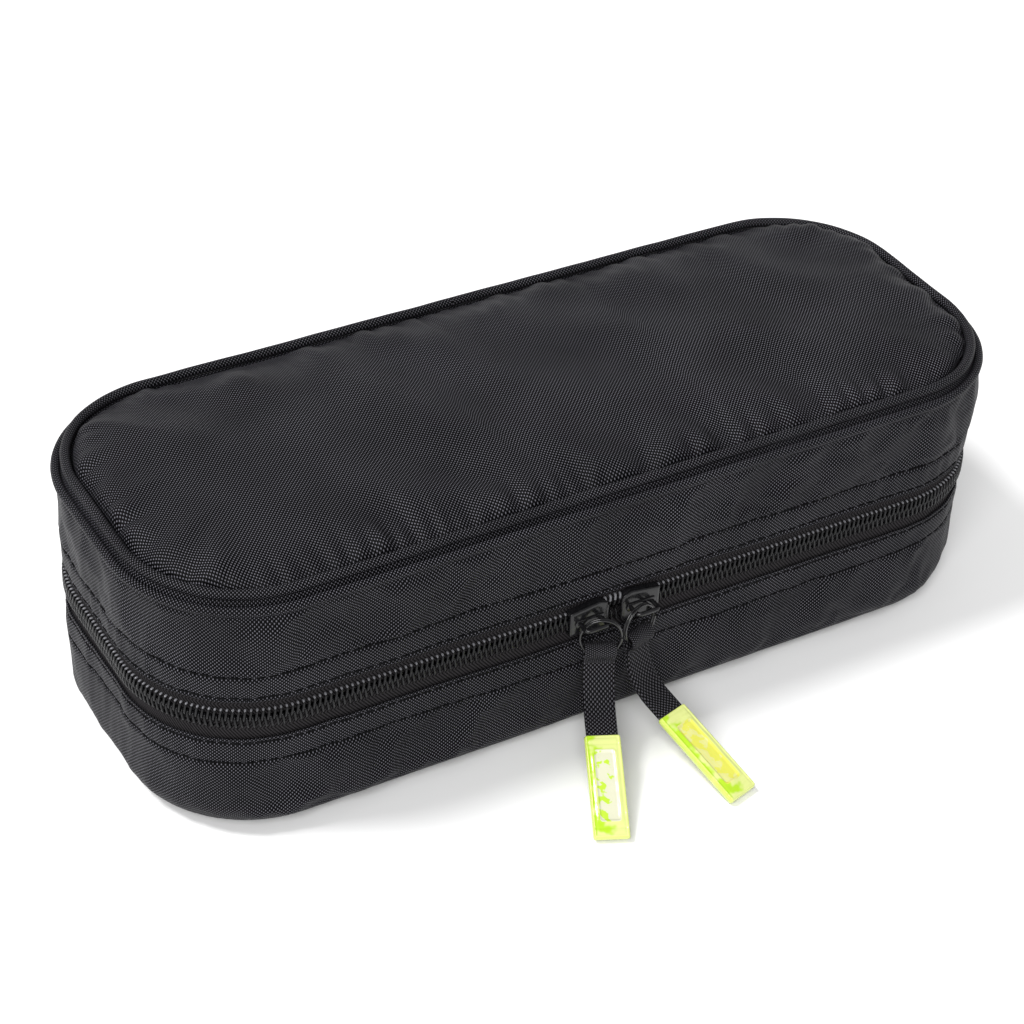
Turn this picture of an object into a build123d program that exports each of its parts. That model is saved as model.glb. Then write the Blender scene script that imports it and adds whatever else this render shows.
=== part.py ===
from build123d import *
import math
import os

# Zip-up equipment pouch: a shallow padded lid over a padded tray, joined at the back by a cloth hinge and
# closed on the other three sides by one coil zip with two sliders. Each slider carries a wire ring, a folded
# webbing pull and a reflective sleeve. The origin is the middle of the underside, +X runs along the length,
# the zip pulls are at the front (-Y) and +Z is up. All sizes are millimetres.

# Overall form
case_length = 310.0
case_width = 124.0
corner_radius = 44.0
zip_height = 47.5
rim_overhang = 1.5

# Cloth, foam and the play between plies
cloth = 1.0
lining_cloth = 0.6
side_foam = 3.5
floor_foam = 5.0
ply_gap = 0.15

# Tray
roll_radius = 12.0
roll_bands = 4
lining_roll_bands = 2
window_below = 8.0

# Lid
window_above = 6.5
lid_band_top = 86.75
edge_roll_radius = 1.5
piping_radius = 1.6
piping_step_in = 3.1
piping_step_up = 4.0
piping_groove = 0.25
piping_sides = 8
panel_base = 87.0
panel_rise = 10.5
panel_edge_round = 5.5
panel_hollow_bevel = 2.7
crown_across = 3.4
crown_along = 1.6

# Zip: tape, rows of teeth and the stretch that the two sliders hold open
tape_width = 15.0
tape_thickness = 0.7
tape_slit = 1.8
tape_end_inset = 0.4
tooth_pitch = 1.8
tooth_width = 0.78
tooth_height = 1.5
tooth_length = 3.35
tooth_tip_gap = 0.02
tooth_gap = 0.05
meeting_x = -5.0
parted_reach = 12.0
parted_by = 1.3

# Ribbon that binds the raw edges of the zip seam inside
binding_width = 6.5
binding_thickness = 1.0

# Cloth hinge along the back
hinge_flap = 14.0
hinge_fold_gap = 0.1
hinge_standoff = 0.2

# Slider
slider_length = 14.0
slider_gap = 4.6
slider_plate = 1.2
slider_tail_half = 4.3
slider_nose_half = 5.8
slider_tip_half = 3.0
slider_round = 0.7
slider_play = 0.25
flange_tail_half = 3.65
flange_nose_half = 4.95
post_length = 3.4
post_thickness = 1.2
post_setback = 0.9

# Bail on the slider
bail_wire_radius = 0.75
bail_wire_sides = 8
bail_half_span = 3.9
bail_standoff = 5.0
bail_bend = 1.3

# Split ring of two turns
ring_radius = 6.6
ring_wire_radius = 0.38
ring_wire_sides = 6
ring_pitch = 0.84
ring_turns = 2
ring_drop = 4.9
ring_left_degrees = -24.0
ring_right_degrees = 16.0
ring_shift_left = 2.0
ring_shift_right = -2.2
ring_inward_left = 1.15
ring_inward_right = 1.65

# Webbing pull and its reflective sleeve
web_width = 10.0
web_ply = 1.0
web_eye_radius = 1.9
web_eye_rise = 1.3
web_straight = 3.2
web_bend_radius = 16.0
web_length = 28.5
web_tail = 8.0
sleeve_length = 35.0
sleeve_width = 11.6
sleeve_thickness = 3.2
sleeve_round = 0.8
sleeve_play = 0.1
sleeve_window_length = 23.0
sleeve_window_width = 6.0
sleeve_relief = 0.3
floor_play = 0.2

# Insets of each ply from the rim outline
band_inset = rim_overhang
tape_inset = band_inset + cloth + ply_gap
tape_back_inset = tape_inset + tape_thickness
foam_inset = tape_inset
lining_inset = foam_inset + side_foam + ply_gap
cavity_inset = lining_inset + lining_cloth

# Levels
tray_edge = zip_height - window_below
lid_edge = zip_height + window_above
half_slit = tape_slit / 2
tray_tape_low = zip_height - half_slit - tape_width
lid_tape_high = zip_height + half_slit + tape_width
floor_foam_low = cloth + ply_gap
lining_floor = floor_foam_low + floor_foam + ply_gap
panel_top = panel_base + panel_rise
lid_ceiling = panel_base - ply_gap
half_length = case_length / 2
half_width = case_width / 2
straight_half = half_length - corner_radius
hinge_axis_y = half_width + hinge_standoff


def outline_at(inset, level):
    """The case outline at an inset and a height."""
    outline = RectangleRounded(case_length - 2 * inset, case_width - 2 * inset, corner_radius - inset)
    return Pos(0, 0, level) * outline


def slab(inset, low, high):
    """A rounded block that follows the case outline at an inset."""
    return extrude(outline_at(inset, low), amount=high - low)


def tub(inset, low, high, radius, bands):
    """A rounded block whose bottom edge is rolled, as straight bands lofted between points of the arc."""
    levels = []
    for step in range(bands + 1):
        turn = math.pi / 2 * step / bands
        levels.append(outline_at(inset + radius * (1 - math.sin(turn)), low + radius * (1 - math.cos(turn))))
    levels.append(outline_at(inset, high))
    return loft(levels, ruled=True)


def wall(inset, thickness, low, high):
    """A closed upright wall round the case."""
    return slab(inset, low, high) - slab(inset + thickness, low - 1, high + 1)


def rolled_wall(inset, thickness, low, high, radius):
    """A wall that rolls under the tray and stops where the flat floor piece begins."""
    outer = tub(inset, low, high, radius, roll_bands)
    inner = tub(inset + thickness, low + thickness, high + 1, radius - thickness, roll_bands)
    floor_hole = slab(inset + radius, low - 1, low + thickness + 1)
    return outer - inner - floor_hole


def back_cutter(half_span, low, high):
    """The block behind the case where the zip is left out for the hinge."""
    return Pos(0, half_width, (low + high) / 2) * Box(2 * half_span, corner_radius, high - low + 2)


def zip_wall(inset, thickness, low, high):
    """A wall that runs round three sides and stops short of the hinge."""
    return wall(inset, thickness, low, high) - back_cutter(straight_half - tape_end_inset, low, high)


def rim_tube(inset, level, radius):
    """A closed tube along the case outline."""
    path = outline_at(inset, level).wire()
    start = Plane(origin=path @ 0, z_dir=path % 0)
    return sweep(start * RegularPolygon(radius, piping_sides), path=path)


def crown_block(inset, low, high):
    """A cushion-topped block: its top is curved across and along. Returned with its upper edges."""
    half_l = half_length - inset
    half_w = half_width - inset
    across = (half_w**2 + crown_across**2) / (2 * crown_across)
    along = (half_l**2 + crown_along**2) / (2 * crown_along)
    edge_level = high - across + math.sqrt(across**2 - half_width**2)
    arch = ThreePointArc((-half_width, edge_level), (0, high), (half_width, edge_level))
    foot = Polyline(
        (half_width, edge_level), (half_width, low - 1), (-half_width, low - 1), (-half_width, edge_level)
    )
    axis = Axis((0, 0, high - along), (0, 1, 0))
    half_turn = math.degrees(math.asin(half_length / along))
    barrel = revolve(Plane.YZ * make_face([arch, foot]), axis=axis, revolution_arc=2 * half_turn)
    block = slab(inset, low, high + 1) & barrel.rotate(axis, -half_turn)
    upper = block.edges().filter_by(Axis.Z, reverse=True).filter_by(lambda edge: edge.center().Z > low + 1)
    return block, upper


# Tray
def tray_parts():
    """The tray's cloth, foam and lining."""
    lining_roll = roll_radius - cloth - side_foam - 2 * ply_gap
    floor_inset = band_inset + roll_radius
    cavity_floor = lining_floor + lining_cloth
    cavity_roll = lining_roll - lining_cloth
    lining = tub(lining_inset, lining_floor, tray_edge, lining_roll, lining_roll_bands)
    lining -= tub(cavity_inset, cavity_floor, tray_edge + 1, cavity_roll, lining_roll_bands)
    low_edge = tray_edge - binding_width
    return {
        "base_side_band": rolled_wall(band_inset, cloth, 0, tray_edge, roll_radius),
        "base_bottom_panel": slab(floor_inset + ply_gap, 0, cloth),
        "base_side_foam": wall(foam_inset, side_foam, roll_radius, tray_tape_low - ply_gap),
        "base_bottom_foam": slab(floor_inset + ply_gap, floor_foam_low, floor_foam_low + floor_foam),
        "base_lining": lining,
        "base_zip_tape": zip_wall(tape_inset, tape_thickness, tray_tape_low, zip_height - half_slit),
        "base_seam_binding": zip_wall(tape_back_inset + ply_gap, binding_thickness, low_edge, tray_edge),
    }


# Lid
def lid_parts():
    """The lid's padded panel, its two corded edges, side cloth, foam and lining."""
    piping_inset = edge_roll_radius + piping_step_in
    roll_level = lid_band_top + ply_gap + edge_roll_radius
    panel_inset = piping_inset + piping_radius + piping_groove
    cushion, cushion_edges = crown_block(panel_inset, panel_base, panel_top)
    hollow, hollow_edges = crown_block(panel_inset + cloth, panel_base - 1, panel_top - cloth)
    core_inset = panel_inset + cloth + ply_gap
    core, core_edges = crown_block(core_inset, panel_base, panel_top - cloth - ply_gap)
    lining = slab(lining_inset, lid_edge, lid_ceiling)
    lining -= slab(cavity_inset, lid_edge - 1, lid_ceiling - lining_cloth)
    return {
        "lid_top_panel": fillet(cushion_edges, panel_edge_round) - chamfer(hollow_edges, panel_hollow_bevel),
        "lid_top_foam": chamfer(core_edges, panel_hollow_bevel + 2 * ply_gap),
        "lid_piping": rim_tube(piping_inset, roll_level + piping_step_up, piping_radius),
        "lid_edge_roll": rim_tube(edge_roll_radius, roll_level, edge_roll_radius),
        "lid_side_band": wall(band_inset, cloth, lid_edge, lid_band_top),
        "lid_side_foam": wall(foam_inset, side_foam, lid_tape_high + ply_gap, lid_band_top),
        "lid_lining": lining,
        "lid_zip_tape": zip_wall(tape_inset, tape_thickness, zip_height + half_slit, lid_tape_high),
        "lid_seam_binding": zip_wall(
            tape_back_inset + ply_gap, binding_thickness, lid_edge, lid_edge + binding_width
        ),
    }


# Cloth hinge, cut in two along its fold
def hinge_parts():
    """The hinge strip's lower half on the tray and its upper half on the lid."""
    inner_face = half_width - band_inset + ply_gap
    middle = inner_face + cloth / 2
    half_flap = hinge_flap / 2
    strip = Box(2 * straight_half, cloth, hinge_flap)
    return {
        "hinge_strip_base": Pos(0, middle, zip_height - hinge_fold_gap - half_flap) * strip,
        "hinge_strip_lid": Pos(0, middle, zip_height + hinge_fold_gap + half_flap) * strip,
    }


# Zip teeth
def zip_path():
    """The line that the teeth follow on the tape's outer face, from the back left end to the back right end."""
    inset = tape_inset - tooth_gap
    end_x = straight_half - tape_end_inset
    side_x = half_length - inset
    side_y = half_width - inset
    return FilletPolyline(
        (-end_x, side_y),
        (-side_x, side_y),
        (-side_x, -side_y),
        (side_x, -side_y),
        (side_x, side_y),
        (end_x, side_y),
        radius=corner_radius - inset,
    )


def parting(place):
    """How far one row stands off the closed line where the sliders hold the zip open."""
    along = abs(place.X - meeting_x)
    if place.Y > 0 or along > parted_reach:
        return 0.0
    return parted_by * (1 + math.cos(math.pi * along / parted_reach)) / 2


def tooth_row(phase, side):
    """One row of teeth. Side is 1 for the lid's row and -1 for the tray's."""
    path = zip_path()
    count = int((path.length - 2 * tooth_pitch) / tooth_pitch)
    start = (path.length - count * tooth_pitch) / 2
    ridge = Polygon((-tooth_width / 2, 0), (0, -tooth_height), (tooth_width / 2, 0), align=None)
    tooth = extrude(ridge, amount=tooth_length)
    base_level = tooth_tip_gap if side > 0 else -tooth_tip_gap - tooth_length
    teeth = []
    for number in range(count):
        distance = start + (number + phase) * tooth_pitch
        place = path.position_at(distance, position_mode=PositionMode.LENGTH)
        heading = path.tangent_at(distance, position_mode=PositionMode.LENGTH)
        turn = math.degrees(math.atan2(heading.Y, heading.X))
        level = zip_height + base_level + side * parting(place)
        teeth.append(Pos(place.X, place.Y, level) * Rot(0, 0, turn) * tooth)
    return Compound(children=teeth)


# Slider: its plates stand each side of the tapes and one post joins them through the slit
tape_face_y = -(half_width - tape_inset)
tape_back_y = -(half_width - tape_back_inset)
channel_roof_y = tape_face_y - tooth_gap - tooth_height - slider_play
plate_face_y = channel_roof_y - slider_plate
bar_y = plate_face_y - bail_standoff
slider_offset = (slider_length + slider_gap) / 2


def layer(outline, outer_y, inner_y):
    """Extrudes a front-view outline between two depths."""
    return Plane.XZ.offset(-inner_y) * extrude(outline, amount=inner_y - outer_y)


def slider_body(center_x):
    """The left slider, nose towards +X, with its bail."""
    half = slider_length / 2
    shoulder = half * 0.5
    tip = half * 0.9
    outline = Polygon(
        (-half, -slider_tail_half),
        (shoulder, -slider_nose_half),
        (tip, -slider_nose_half + 1),
        (half, -slider_tip_half),
        (half, slider_tip_half),
        (tip, slider_nose_half - 1),
        (shoulder, slider_nose_half),
        (-half, slider_tail_half),
        align=None,
    )
    outline = fillet(outline.vertices().filter_by(lambda corner: abs(corner.X) > tip), slider_round)
    channel = Polygon(
        (-half - 1, -flange_tail_half),
        (shoulder, -flange_nose_half),
        (half + 1, -flange_nose_half),
        (half + 1, flange_nose_half),
        (shoulder, flange_nose_half),
        (-half - 1, flange_tail_half),
        align=None,
    )
    post_end = half - post_setback
    post_start = post_end - post_length
    post_bevel = post_thickness / 2
    post = Polygon(
        (post_start, 0),
        (post_start + 2 * post_bevel, -post_bevel),
        (post_end - post_bevel, -post_bevel),
        (post_end, 0),
        (post_end - post_bevel, post_bevel),
        (post_start + 2 * post_bevel, post_bevel),
        align=None,
    )
    back_plate_y = tape_back_y + slider_play
    body = layer(outline, plate_face_y, channel_roof_y)
    body += layer(outline - channel, channel_roof_y, tape_face_y - slider_play)
    body += layer(post, channel_roof_y, back_plate_y)
    body += layer(outline, back_plate_y, back_plate_y + slider_plate)
    foot_y = plate_face_y + slider_plate / 2
    path = FilletPolyline(
        (-bail_half_span, foot_y, 0),
        (-bail_half_span, bar_y, 0),
        (bail_half_span, bar_y, 0),
        (bail_half_span, foot_y, 0),
        radius=bail_bend,
    )
    wire_section = RegularPolygon(bail_wire_radius, bail_wire_sides)
    body += sweep(Plane(origin=path @ 0, z_dir=path % 0) * wire_section, path=path)
    return Pos(center_x, 0, zip_height) * body


# Pulls
def pull_frame(center_x, turn, shift, inward):
    """Where one ring hangs on the nose-side leg of its bail."""
    across = Vector(math.cos(math.radians(turn)), math.sin(math.radians(turn)), 0)
    outward = Vector(across.Y, -across.X, 0)
    center = Vector(center_x + shift, bar_y + inward, zip_height - ring_drop)
    bottom = center - Vector(0, 0, ring_radius)
    return across, outward, center, bottom


def split_ring(across, outward, center):
    """A flat wire spring ring. Each half turn is an arc tilted by half the pitch, so the turns climb evenly."""
    climb = ring_pitch / 2
    side = -1
    arcs = []
    for half in range(2 * ring_turns):
        level = climb * half
        start = (0, side * ring_radius, level)
        middle = (-side * ring_radius, 0, level + climb / 2)
        arcs.append(ThreePointArc(start, middle, (0, -side * ring_radius, level + climb)))
        side = -side
    coil = Wire(arcs)
    wire = sweep(Plane(origin=coil @ 0, z_dir=coil % 0) * RegularPolygon(ring_wire_radius, ring_wire_sides), path=coil)
    frame = Plane(origin=center, x_dir=Vector(0, 0, 1), z_dir=outward)
    return frame.location * (Pos(0, 0, -ring_pitch * ring_turns / 2) * wire)


def drop_of(lean):
    """The height that a pull spans when its straight part leans this far from upright."""
    straight = web_length - web_straight - web_bend_radius * lean + sleeve_length
    sleeve_corner = sleeve_thickness / 2 * math.sin(lean)
    return web_straight + web_bend_radius * math.sin(lean) + straight * math.cos(lean) + sleeve_corner


def resting_lean(height):
    """The lean at which the sleeve's end just meets the surface that the case stands on."""
    low, high = 0.0, math.pi / 2
    for _ in range(50):
        middle = (low + high) / 2
        if drop_of(middle) > height:
            low = middle
        else:
            high = middle
    return (low + high) / 2


def strap_section(center, lean, tail):
    """The side view of the two plies: straight down from the eye, round the bend and straight on to the tail."""
    outer = web_bend_radius + web_ply
    inner = web_bend_radius - web_ply
    top = web_eye_rise - web_eye_radius

    def bend_point(radius, turn):
        return center - Vector(math.cos(turn), math.sin(turn)) * radius

    half_ply = Vector(math.cos(lean), math.sin(lean)) * web_ply
    edges = [
        Line((-web_ply, top), bend_point(outer, 0)),
        ThreePointArc(bend_point(outer, 0), bend_point(outer, lean / 2), bend_point(outer, lean)),
        Line(bend_point(outer, lean), tail - half_ply),
        Line(tail - half_ply, tail + half_ply),
        Line(tail + half_ply, bend_point(inner, lean)),
        ThreePointArc(bend_point(inner, lean), bend_point(inner, lean / 2), bend_point(inner, 0)),
        Line(bend_point(inner, 0), (web_ply, top)),
        Line((web_ply, top), (-web_ply, top)),
    ]
    return make_face(edges)


def pull_parts(across, outward, bottom):
    """The folded webbing and the sleeve on its end, drawn in side view and spread across the width."""
    side_view = Plane(origin=bottom, x_dir=outward, z_dir=outward.cross(Vector(0, 0, 1)))
    lean = resting_lean(bottom.Z - floor_play)
    bend = web_bend_radius
    bend_start = Vector(0, -web_straight)
    bend_end = bend_start + Vector(bend * (1 - math.cos(lean)), -bend * math.sin(lean))
    heading = Vector(math.sin(lean), -math.cos(lean))
    free = web_length - web_straight - bend * lean
    mouth = bend_end + heading * free
    tail = mouth + heading * web_tail
    strap = strap_section(bend_start + Vector(bend, 0), lean, tail)
    eye = Pos(0, web_eye_rise) * Circle(web_eye_radius + web_ply)
    hole = Pos(0, web_eye_rise) * Circle(web_eye_radius)
    webbing = extrude(strap + eye - hole, amount=web_width / 2, both=True)
    sleeve_plane = Plane(
        origin=mouth + heading * (sleeve_length / 2), x_dir=heading, z_dir=Vector(math.cos(lean), math.sin(lean))
    )
    sleeve = Box(sleeve_length, sleeve_width, sleeve_thickness)
    sleeve = fillet(sleeve.edges().filter_by(Axis.Z), sleeve_round)
    window = Rectangle(sleeve_window_length, sleeve_window_width)
    for face in (1, -1):
        skin = face * (sleeve_thickness / 2 - sleeve_relief / 2)
        sleeve -= Pos(0, 0, skin - sleeve_relief / 2) * extrude(window, amount=sleeve_relief)
    pocket = Box(web_tail + sleeve_play, web_width + 2 * sleeve_play, 2 * (web_ply + sleeve_play))
    sleeve -= Pos(-sleeve_length / 2 + (web_tail + sleeve_play) / 2, 0, 0) * pocket
    return side_view.location * webbing, side_view.location * (sleeve_plane.location * sleeve)


def slider_and_pull(name, side, turn, shift, inward):
    """One slider with its ring, webbing and sleeve. Side is -1 for the left one and 1 for the right one."""
    center_x = meeting_x + side * slider_offset
    body = slider_body(meeting_x - slider_offset)
    if side > 0:
        body = mirror(body, about=Plane.YZ.offset(meeting_x))
    across, outward, center, bottom = pull_frame(center_x, turn, shift, inward)
    webbing, sleeve = pull_parts(across, outward, bottom)
    return {
        f"slider_{name}": body,
        f"ring_{name}": split_ring(across, outward, center),
        f"webbing_{name}": webbing,
        f"sleeve_{name}": sleeve,
    }


def all_parts():
    """Every node of the pouch by name."""
    parts = {}
    parts.update(tray_parts())
    parts.update(lid_parts())
    parts.update(hinge_parts())
    parts["lid_zip_teeth"] = tooth_row(0.25, 1)
    parts["base_zip_teeth"] = tooth_row(0.75, -1)
    parts.update(slider_and_pull("left", -1, ring_left_degrees, ring_shift_left, ring_inward_left))
    parts.update(slider_and_pull("right", 1, ring_right_degrees, ring_shift_right, ring_inward_right))
    return parts


os.makedirs("parts", exist_ok=True)
for node_name, shape in all_parts().items():
    export_step(shape, f"parts/{node_name}.step")
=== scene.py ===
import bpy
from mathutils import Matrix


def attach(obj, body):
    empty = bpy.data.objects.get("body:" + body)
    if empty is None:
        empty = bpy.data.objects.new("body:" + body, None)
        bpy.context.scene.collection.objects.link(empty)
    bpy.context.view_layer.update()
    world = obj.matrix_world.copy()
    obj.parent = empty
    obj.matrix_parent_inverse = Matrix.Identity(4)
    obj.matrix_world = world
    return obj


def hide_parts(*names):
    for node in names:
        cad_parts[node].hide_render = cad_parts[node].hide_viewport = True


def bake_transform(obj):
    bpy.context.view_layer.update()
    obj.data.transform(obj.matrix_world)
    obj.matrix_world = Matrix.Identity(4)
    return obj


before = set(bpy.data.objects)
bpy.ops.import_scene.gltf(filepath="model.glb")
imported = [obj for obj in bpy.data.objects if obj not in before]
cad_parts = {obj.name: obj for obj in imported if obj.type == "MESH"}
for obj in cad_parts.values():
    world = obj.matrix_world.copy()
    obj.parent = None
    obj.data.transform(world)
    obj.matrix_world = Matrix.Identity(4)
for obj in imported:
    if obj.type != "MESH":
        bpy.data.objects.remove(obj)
"""Padded zip-up pouch in black woven nylon: lid and tray joined by a two-way coil zip and a cloth hinge."""
import logging
import math
from contextlib import contextmanager
from dataclasses import dataclass, field
from enum import Enum
from typing import Callable, Iterator, Optional, Sequence

import bpy
import numpy as np
from mathutils import Matrix, Vector

logging.basicConfig(level=logging.INFO, format="%(message)s")
log = logging.getLogger("pouch")

Array = np.ndarray
Piece = bpy.types.Object
Material = bpy.types.Material
Points = Sequence[tuple[float, float]]
Place = Callable[[Array, Array], Array]

MM = 0.001
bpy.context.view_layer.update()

# Sizes that several pieces share, in millimetres.
ZIP_HEIGHT = 47.5
TRAY_EDGE = 39.5
LID_EDGE = 54.0
STITCH_ROWS = {"edge": 1.6, "inner": 9.8}
SLIDERS_MEET = -5.0
SLEEVE_LENGTH = 35.0
SLEEVE_WIDTH = 11.6


class Body(Enum):
    """The rigid bodies that pieces ride on."""

    TRAY = "tray"
    LID = "lid"
    SLIDER_LEFT = "slider_left"
    SLIDER_RIGHT = "slider_right"
    RING_LEFT = "ring_left"
    RING_RIGHT = "ring_right"
    PULL_LEFT = "pull_left"
    PULL_RIGHT = "pull_right"


def deselect() -> None:
    """Leaves nothing selected, in object mode."""
    if bpy.context.object is not None and bpy.context.object.mode != "OBJECT":
        bpy.ops.object.mode_set(mode="OBJECT")
    bpy.ops.object.select_all(action="DESELECT")


def activate(piece: Piece) -> None:
    """Selects one piece alone and makes it the active one.

    Args:
        piece: The piece.
    """
    deselect()
    piece.select_set(True)
    bpy.context.view_layer.objects.active = piece


@contextmanager
def edit_mode(piece: Piece) -> Iterator[None]:
    """Opens a piece's mesh with everything selected, and closes it again.

    Args:
        piece: The piece to edit.
    """
    activate(piece)
    bpy.ops.object.mode_set(mode="EDIT")
    bpy.ops.mesh.select_all(action="SELECT")
    yield
    bpy.ops.object.mode_set(mode="OBJECT")


def named(piece: Piece, name: str) -> Piece:
    """Gives a piece and its mesh one name."""
    piece.name = piece.data.name = name
    return piece


def linked(name: str, data: bpy.types.ID) -> Piece:
    """Puts a mesh, curve, camera or light into the scene.

    Args:
        name: The new object's name.
        data: What it shows.

    Returns:
        The object.
    """
    thing = bpy.data.objects.new(name, data)
    bpy.context.scene.collection.objects.link(thing)
    return thing


def coords(piece: Piece) -> Array:
    """Reads a piece's vertices.

    Args:
        piece: The piece.

    Returns:
        A row of x, y and z for each vertex.
    """
    flat = np.empty(len(piece.data.vertices) * 3)
    piece.data.vertices.foreach_get("co", flat)
    return flat.reshape(-1, 3)


def set_coords(piece: Piece, places: Array) -> None:
    """Writes the piece's vertices."""
    piece.data.vertices.foreach_set("co", np.ascontiguousarray(places, dtype=np.float64).ravel())
    piece.data.update()


def apply_modifiers(piece: Piece) -> None:
    """Applies every modifier in order.

    Args:
        piece: The piece.
    """
    activate(piece)
    for modifier in list(piece.modifiers):
        bpy.ops.object.modifier_apply(modifier=modifier.name)


def smooth(piece: Piece, angle: float = 60.0) -> None:
    """Shades a piece smooth, with edges over the angle in degrees kept sharp."""
    activate(piece)
    bpy.ops.object.shade_smooth_by_angle(angle=math.radians(angle))


def weld_seam(piece: Piece, distance: float = 0.00002) -> None:
    """Merges vertices that lie on each other and turns all faces outwards.

    Args:
        piece: The piece.
        distance: How near two vertices lie to be one, in metres.
    """
    with edit_mode(piece):
        bpy.ops.mesh.remove_doubles(threshold=distance)
        bpy.ops.mesh.normals_make_consistent(inside=False)


def thicken(piece: Piece, thickness: float, offset: float = -1.0) -> None:
    """Gives a sheet its thickness.

    Args:
        piece: The sheet.
        thickness: Its thickness in millimetres.
        offset: -1 to grow inwards, or 0 for both ways.
    """
    modifier = piece.modifiers.new("thickness", "SOLIDIFY")
    modifier.thickness = thickness * MM
    modifier.offset = offset
    modifier.use_even_offset = False
    apply_modifiers(piece)


def subdivide(piece: Piece) -> None:
    """Adds one applied level of subdivision surface.

    Args:
        piece: The piece.
    """
    modifier = piece.modifiers.new("soft", "SUBSURF")
    modifier.levels = modifier.render_levels = 1
    apply_modifiers(piece)


def joined(name: str, pieces: Sequence[Piece]) -> Piece:
    """Joins several meshes into the first.

    Args:
        name: The joined piece's name.
        pieces: The meshes.

    Returns:
        The joined piece.
    """
    activate(pieces[0])
    for piece in pieces[1:]:
        piece.select_set(True)
    bpy.ops.object.join()
    return named(bpy.context.object, name)


def sheet_grid(
    name: str, cells_u: int, cells_v: int, place: Place, size: Optional[tuple[float, float]] = None
) -> Piece:
    """A flat grid of cloth moved to its place.

    Args:
        name: The piece's name.
        cells_u: Cells along the first direction.
        cells_v: Cells along the second direction.
        place: Takes u and v from 0 to 1 and returns places in millimetres.
        size: The cloth's flat size for its UV map, or None to map it by x and y.

    Returns:
        The piece, with UVs in millimetres.
    """
    deselect()
    bpy.ops.mesh.primitive_grid_add(x_subdivisions=cells_u, y_subdivisions=cells_v, size=1.0, calc_uvs=True)
    piece = named(bpy.context.object, name)
    flat = coords(piece)
    u, v = flat[:, 0] + 0.5, flat[:, 1] + 0.5
    spots = place(u, v)
    across, along = (spots[:, 0], spots[:, 1]) if size is None else (u * size[0], v * size[1])
    loops = np.empty(len(piece.data.loops), dtype=np.int64)
    piece.data.loops.foreach_get("vertex_index", loops)
    uvs = np.column_stack((across[loops], along[loops]))
    piece.data.uv_layers.active.data.foreach_set("uv", uvs.ravel())
    set_coords(piece, spots * MM)
    return piece


def repeated(name: str, template: Piece, frames: Array) -> Piece:
    """One mesh made of copies of a small template, which is then deleted.

    Args:
        name: The new piece's name.
        template: A mesh modelled at the origin, in millimetres.
        frames: One 3 by 4 array a copy: its x, y and z directions and its place, in columns.

    Returns:
        The joined piece, in metres.
    """
    base = coords(template)
    faces = [tuple(polygon.vertices) for polygon in template.data.polygons]
    points = np.einsum("nij,kj->nki", frames[:, :, :3], base) + frames[:, None, :, 3]
    starts = range(0, len(frames) * len(base), len(base))
    all_faces = [tuple(index + first for index in face) for first in starts for face in faces]
    mesh = bpy.data.meshes.new(name)
    mesh.from_pydata((points.reshape(-1, 3) * MM).tolist(), [], all_faces)
    mesh.update()
    piece = linked(name, mesh)
    bpy.data.objects.remove(template)
    activate(piece)
    bpy.ops.object.shade_smooth()
    return piece


def wire_mesh(name: str, kind: str, points: Array, radius: float, fine: int) -> Piece:
    """A round wire with closed ends along a curve, as a mesh in the points' own unit.

    Args:
        name: The piece's name.
        kind: POLY for straight steps, or NURBS for a soft bend.
        points: The curve's points.
        radius: The wire's radius.
        fine: How finely its round section is divided.

    Returns:
        The wire.
    """
    curve = bpy.data.curves.new(name, "CURVE")
    curve.dimensions = "3D"
    spline = curve.splines.new(kind)
    spline.points.add(len(points) - 1)
    spline.points.foreach_set("co", np.column_stack((points, np.ones(len(points)))).ravel())
    if kind == "NURBS":
        spline.order_u = 3
        spline.use_endpoint_u = True
        curve.resolution_u = 2
    curve.bevel_depth = radius
    curve.bevel_resolution = fine
    curve.use_fill_caps = True
    activate(linked(name, curve))
    bpy.ops.object.convert(target="MESH")
    return named(bpy.context.object, name)


def tube(name: str, path: Array, radius: float, fine: int = 2) -> Piece:
    """A round wire along a path in millimetres.

    Args:
        name: The piece's name.
        path: Its middle line.
        radius: Its radius.
        fine: How finely its round section is divided.

    Returns:
        The wire, in metres.
    """
    piece = wire_mesh(name, "POLY", path, radius, fine)
    set_coords(piece, coords(piece) * MM)
    weld_seam(piece, 0.000005)
    smooth(piece, 50)
    return piece


def prism(name: str, outline: Points, back: float, front: float, bevel: float, crown: float = 0.0) -> Piece:
    """A plate cut to an outline, seen from the front, with softened edges.

    Args:
        name: The piece's name.
        outline: Pairs of x and z in millimetres.
        back: The y of its back.
        front: The y of its front, which is the smaller number.
        bevel: How far its edges are rounded.
        crown: How far the middle of its front stands out.

    Returns:
        The plate, in metres.
    """
    deselect()
    bpy.ops.mesh.primitive_circle_add(vertices=len(outline), radius=1.0, fill_type="NGON")
    piece = named(bpy.context.object, name)
    set_coords(piece, np.array([(x, back, z) for x, z in outline]))
    with edit_mode(piece):
        bpy.ops.mesh.extrude_region_move(TRANSFORM_OT_translate={"value": (0, front - back, 0)})
        if crown > 0:
            bpy.ops.mesh.inset(thickness=4 * crown)
            bpy.ops.transform.translate(value=(0, -crown, 0))
        bpy.ops.mesh.select_all(action="SELECT")
        bpy.ops.mesh.normals_make_consistent(inside=False)
        bpy.ops.mesh.bevel(offset=bevel, segments=2, affect="EDGES", clamp_overlap=True)
    set_coords(piece, coords(piece) * MM)
    smooth(piece, 40)
    return piece


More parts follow.
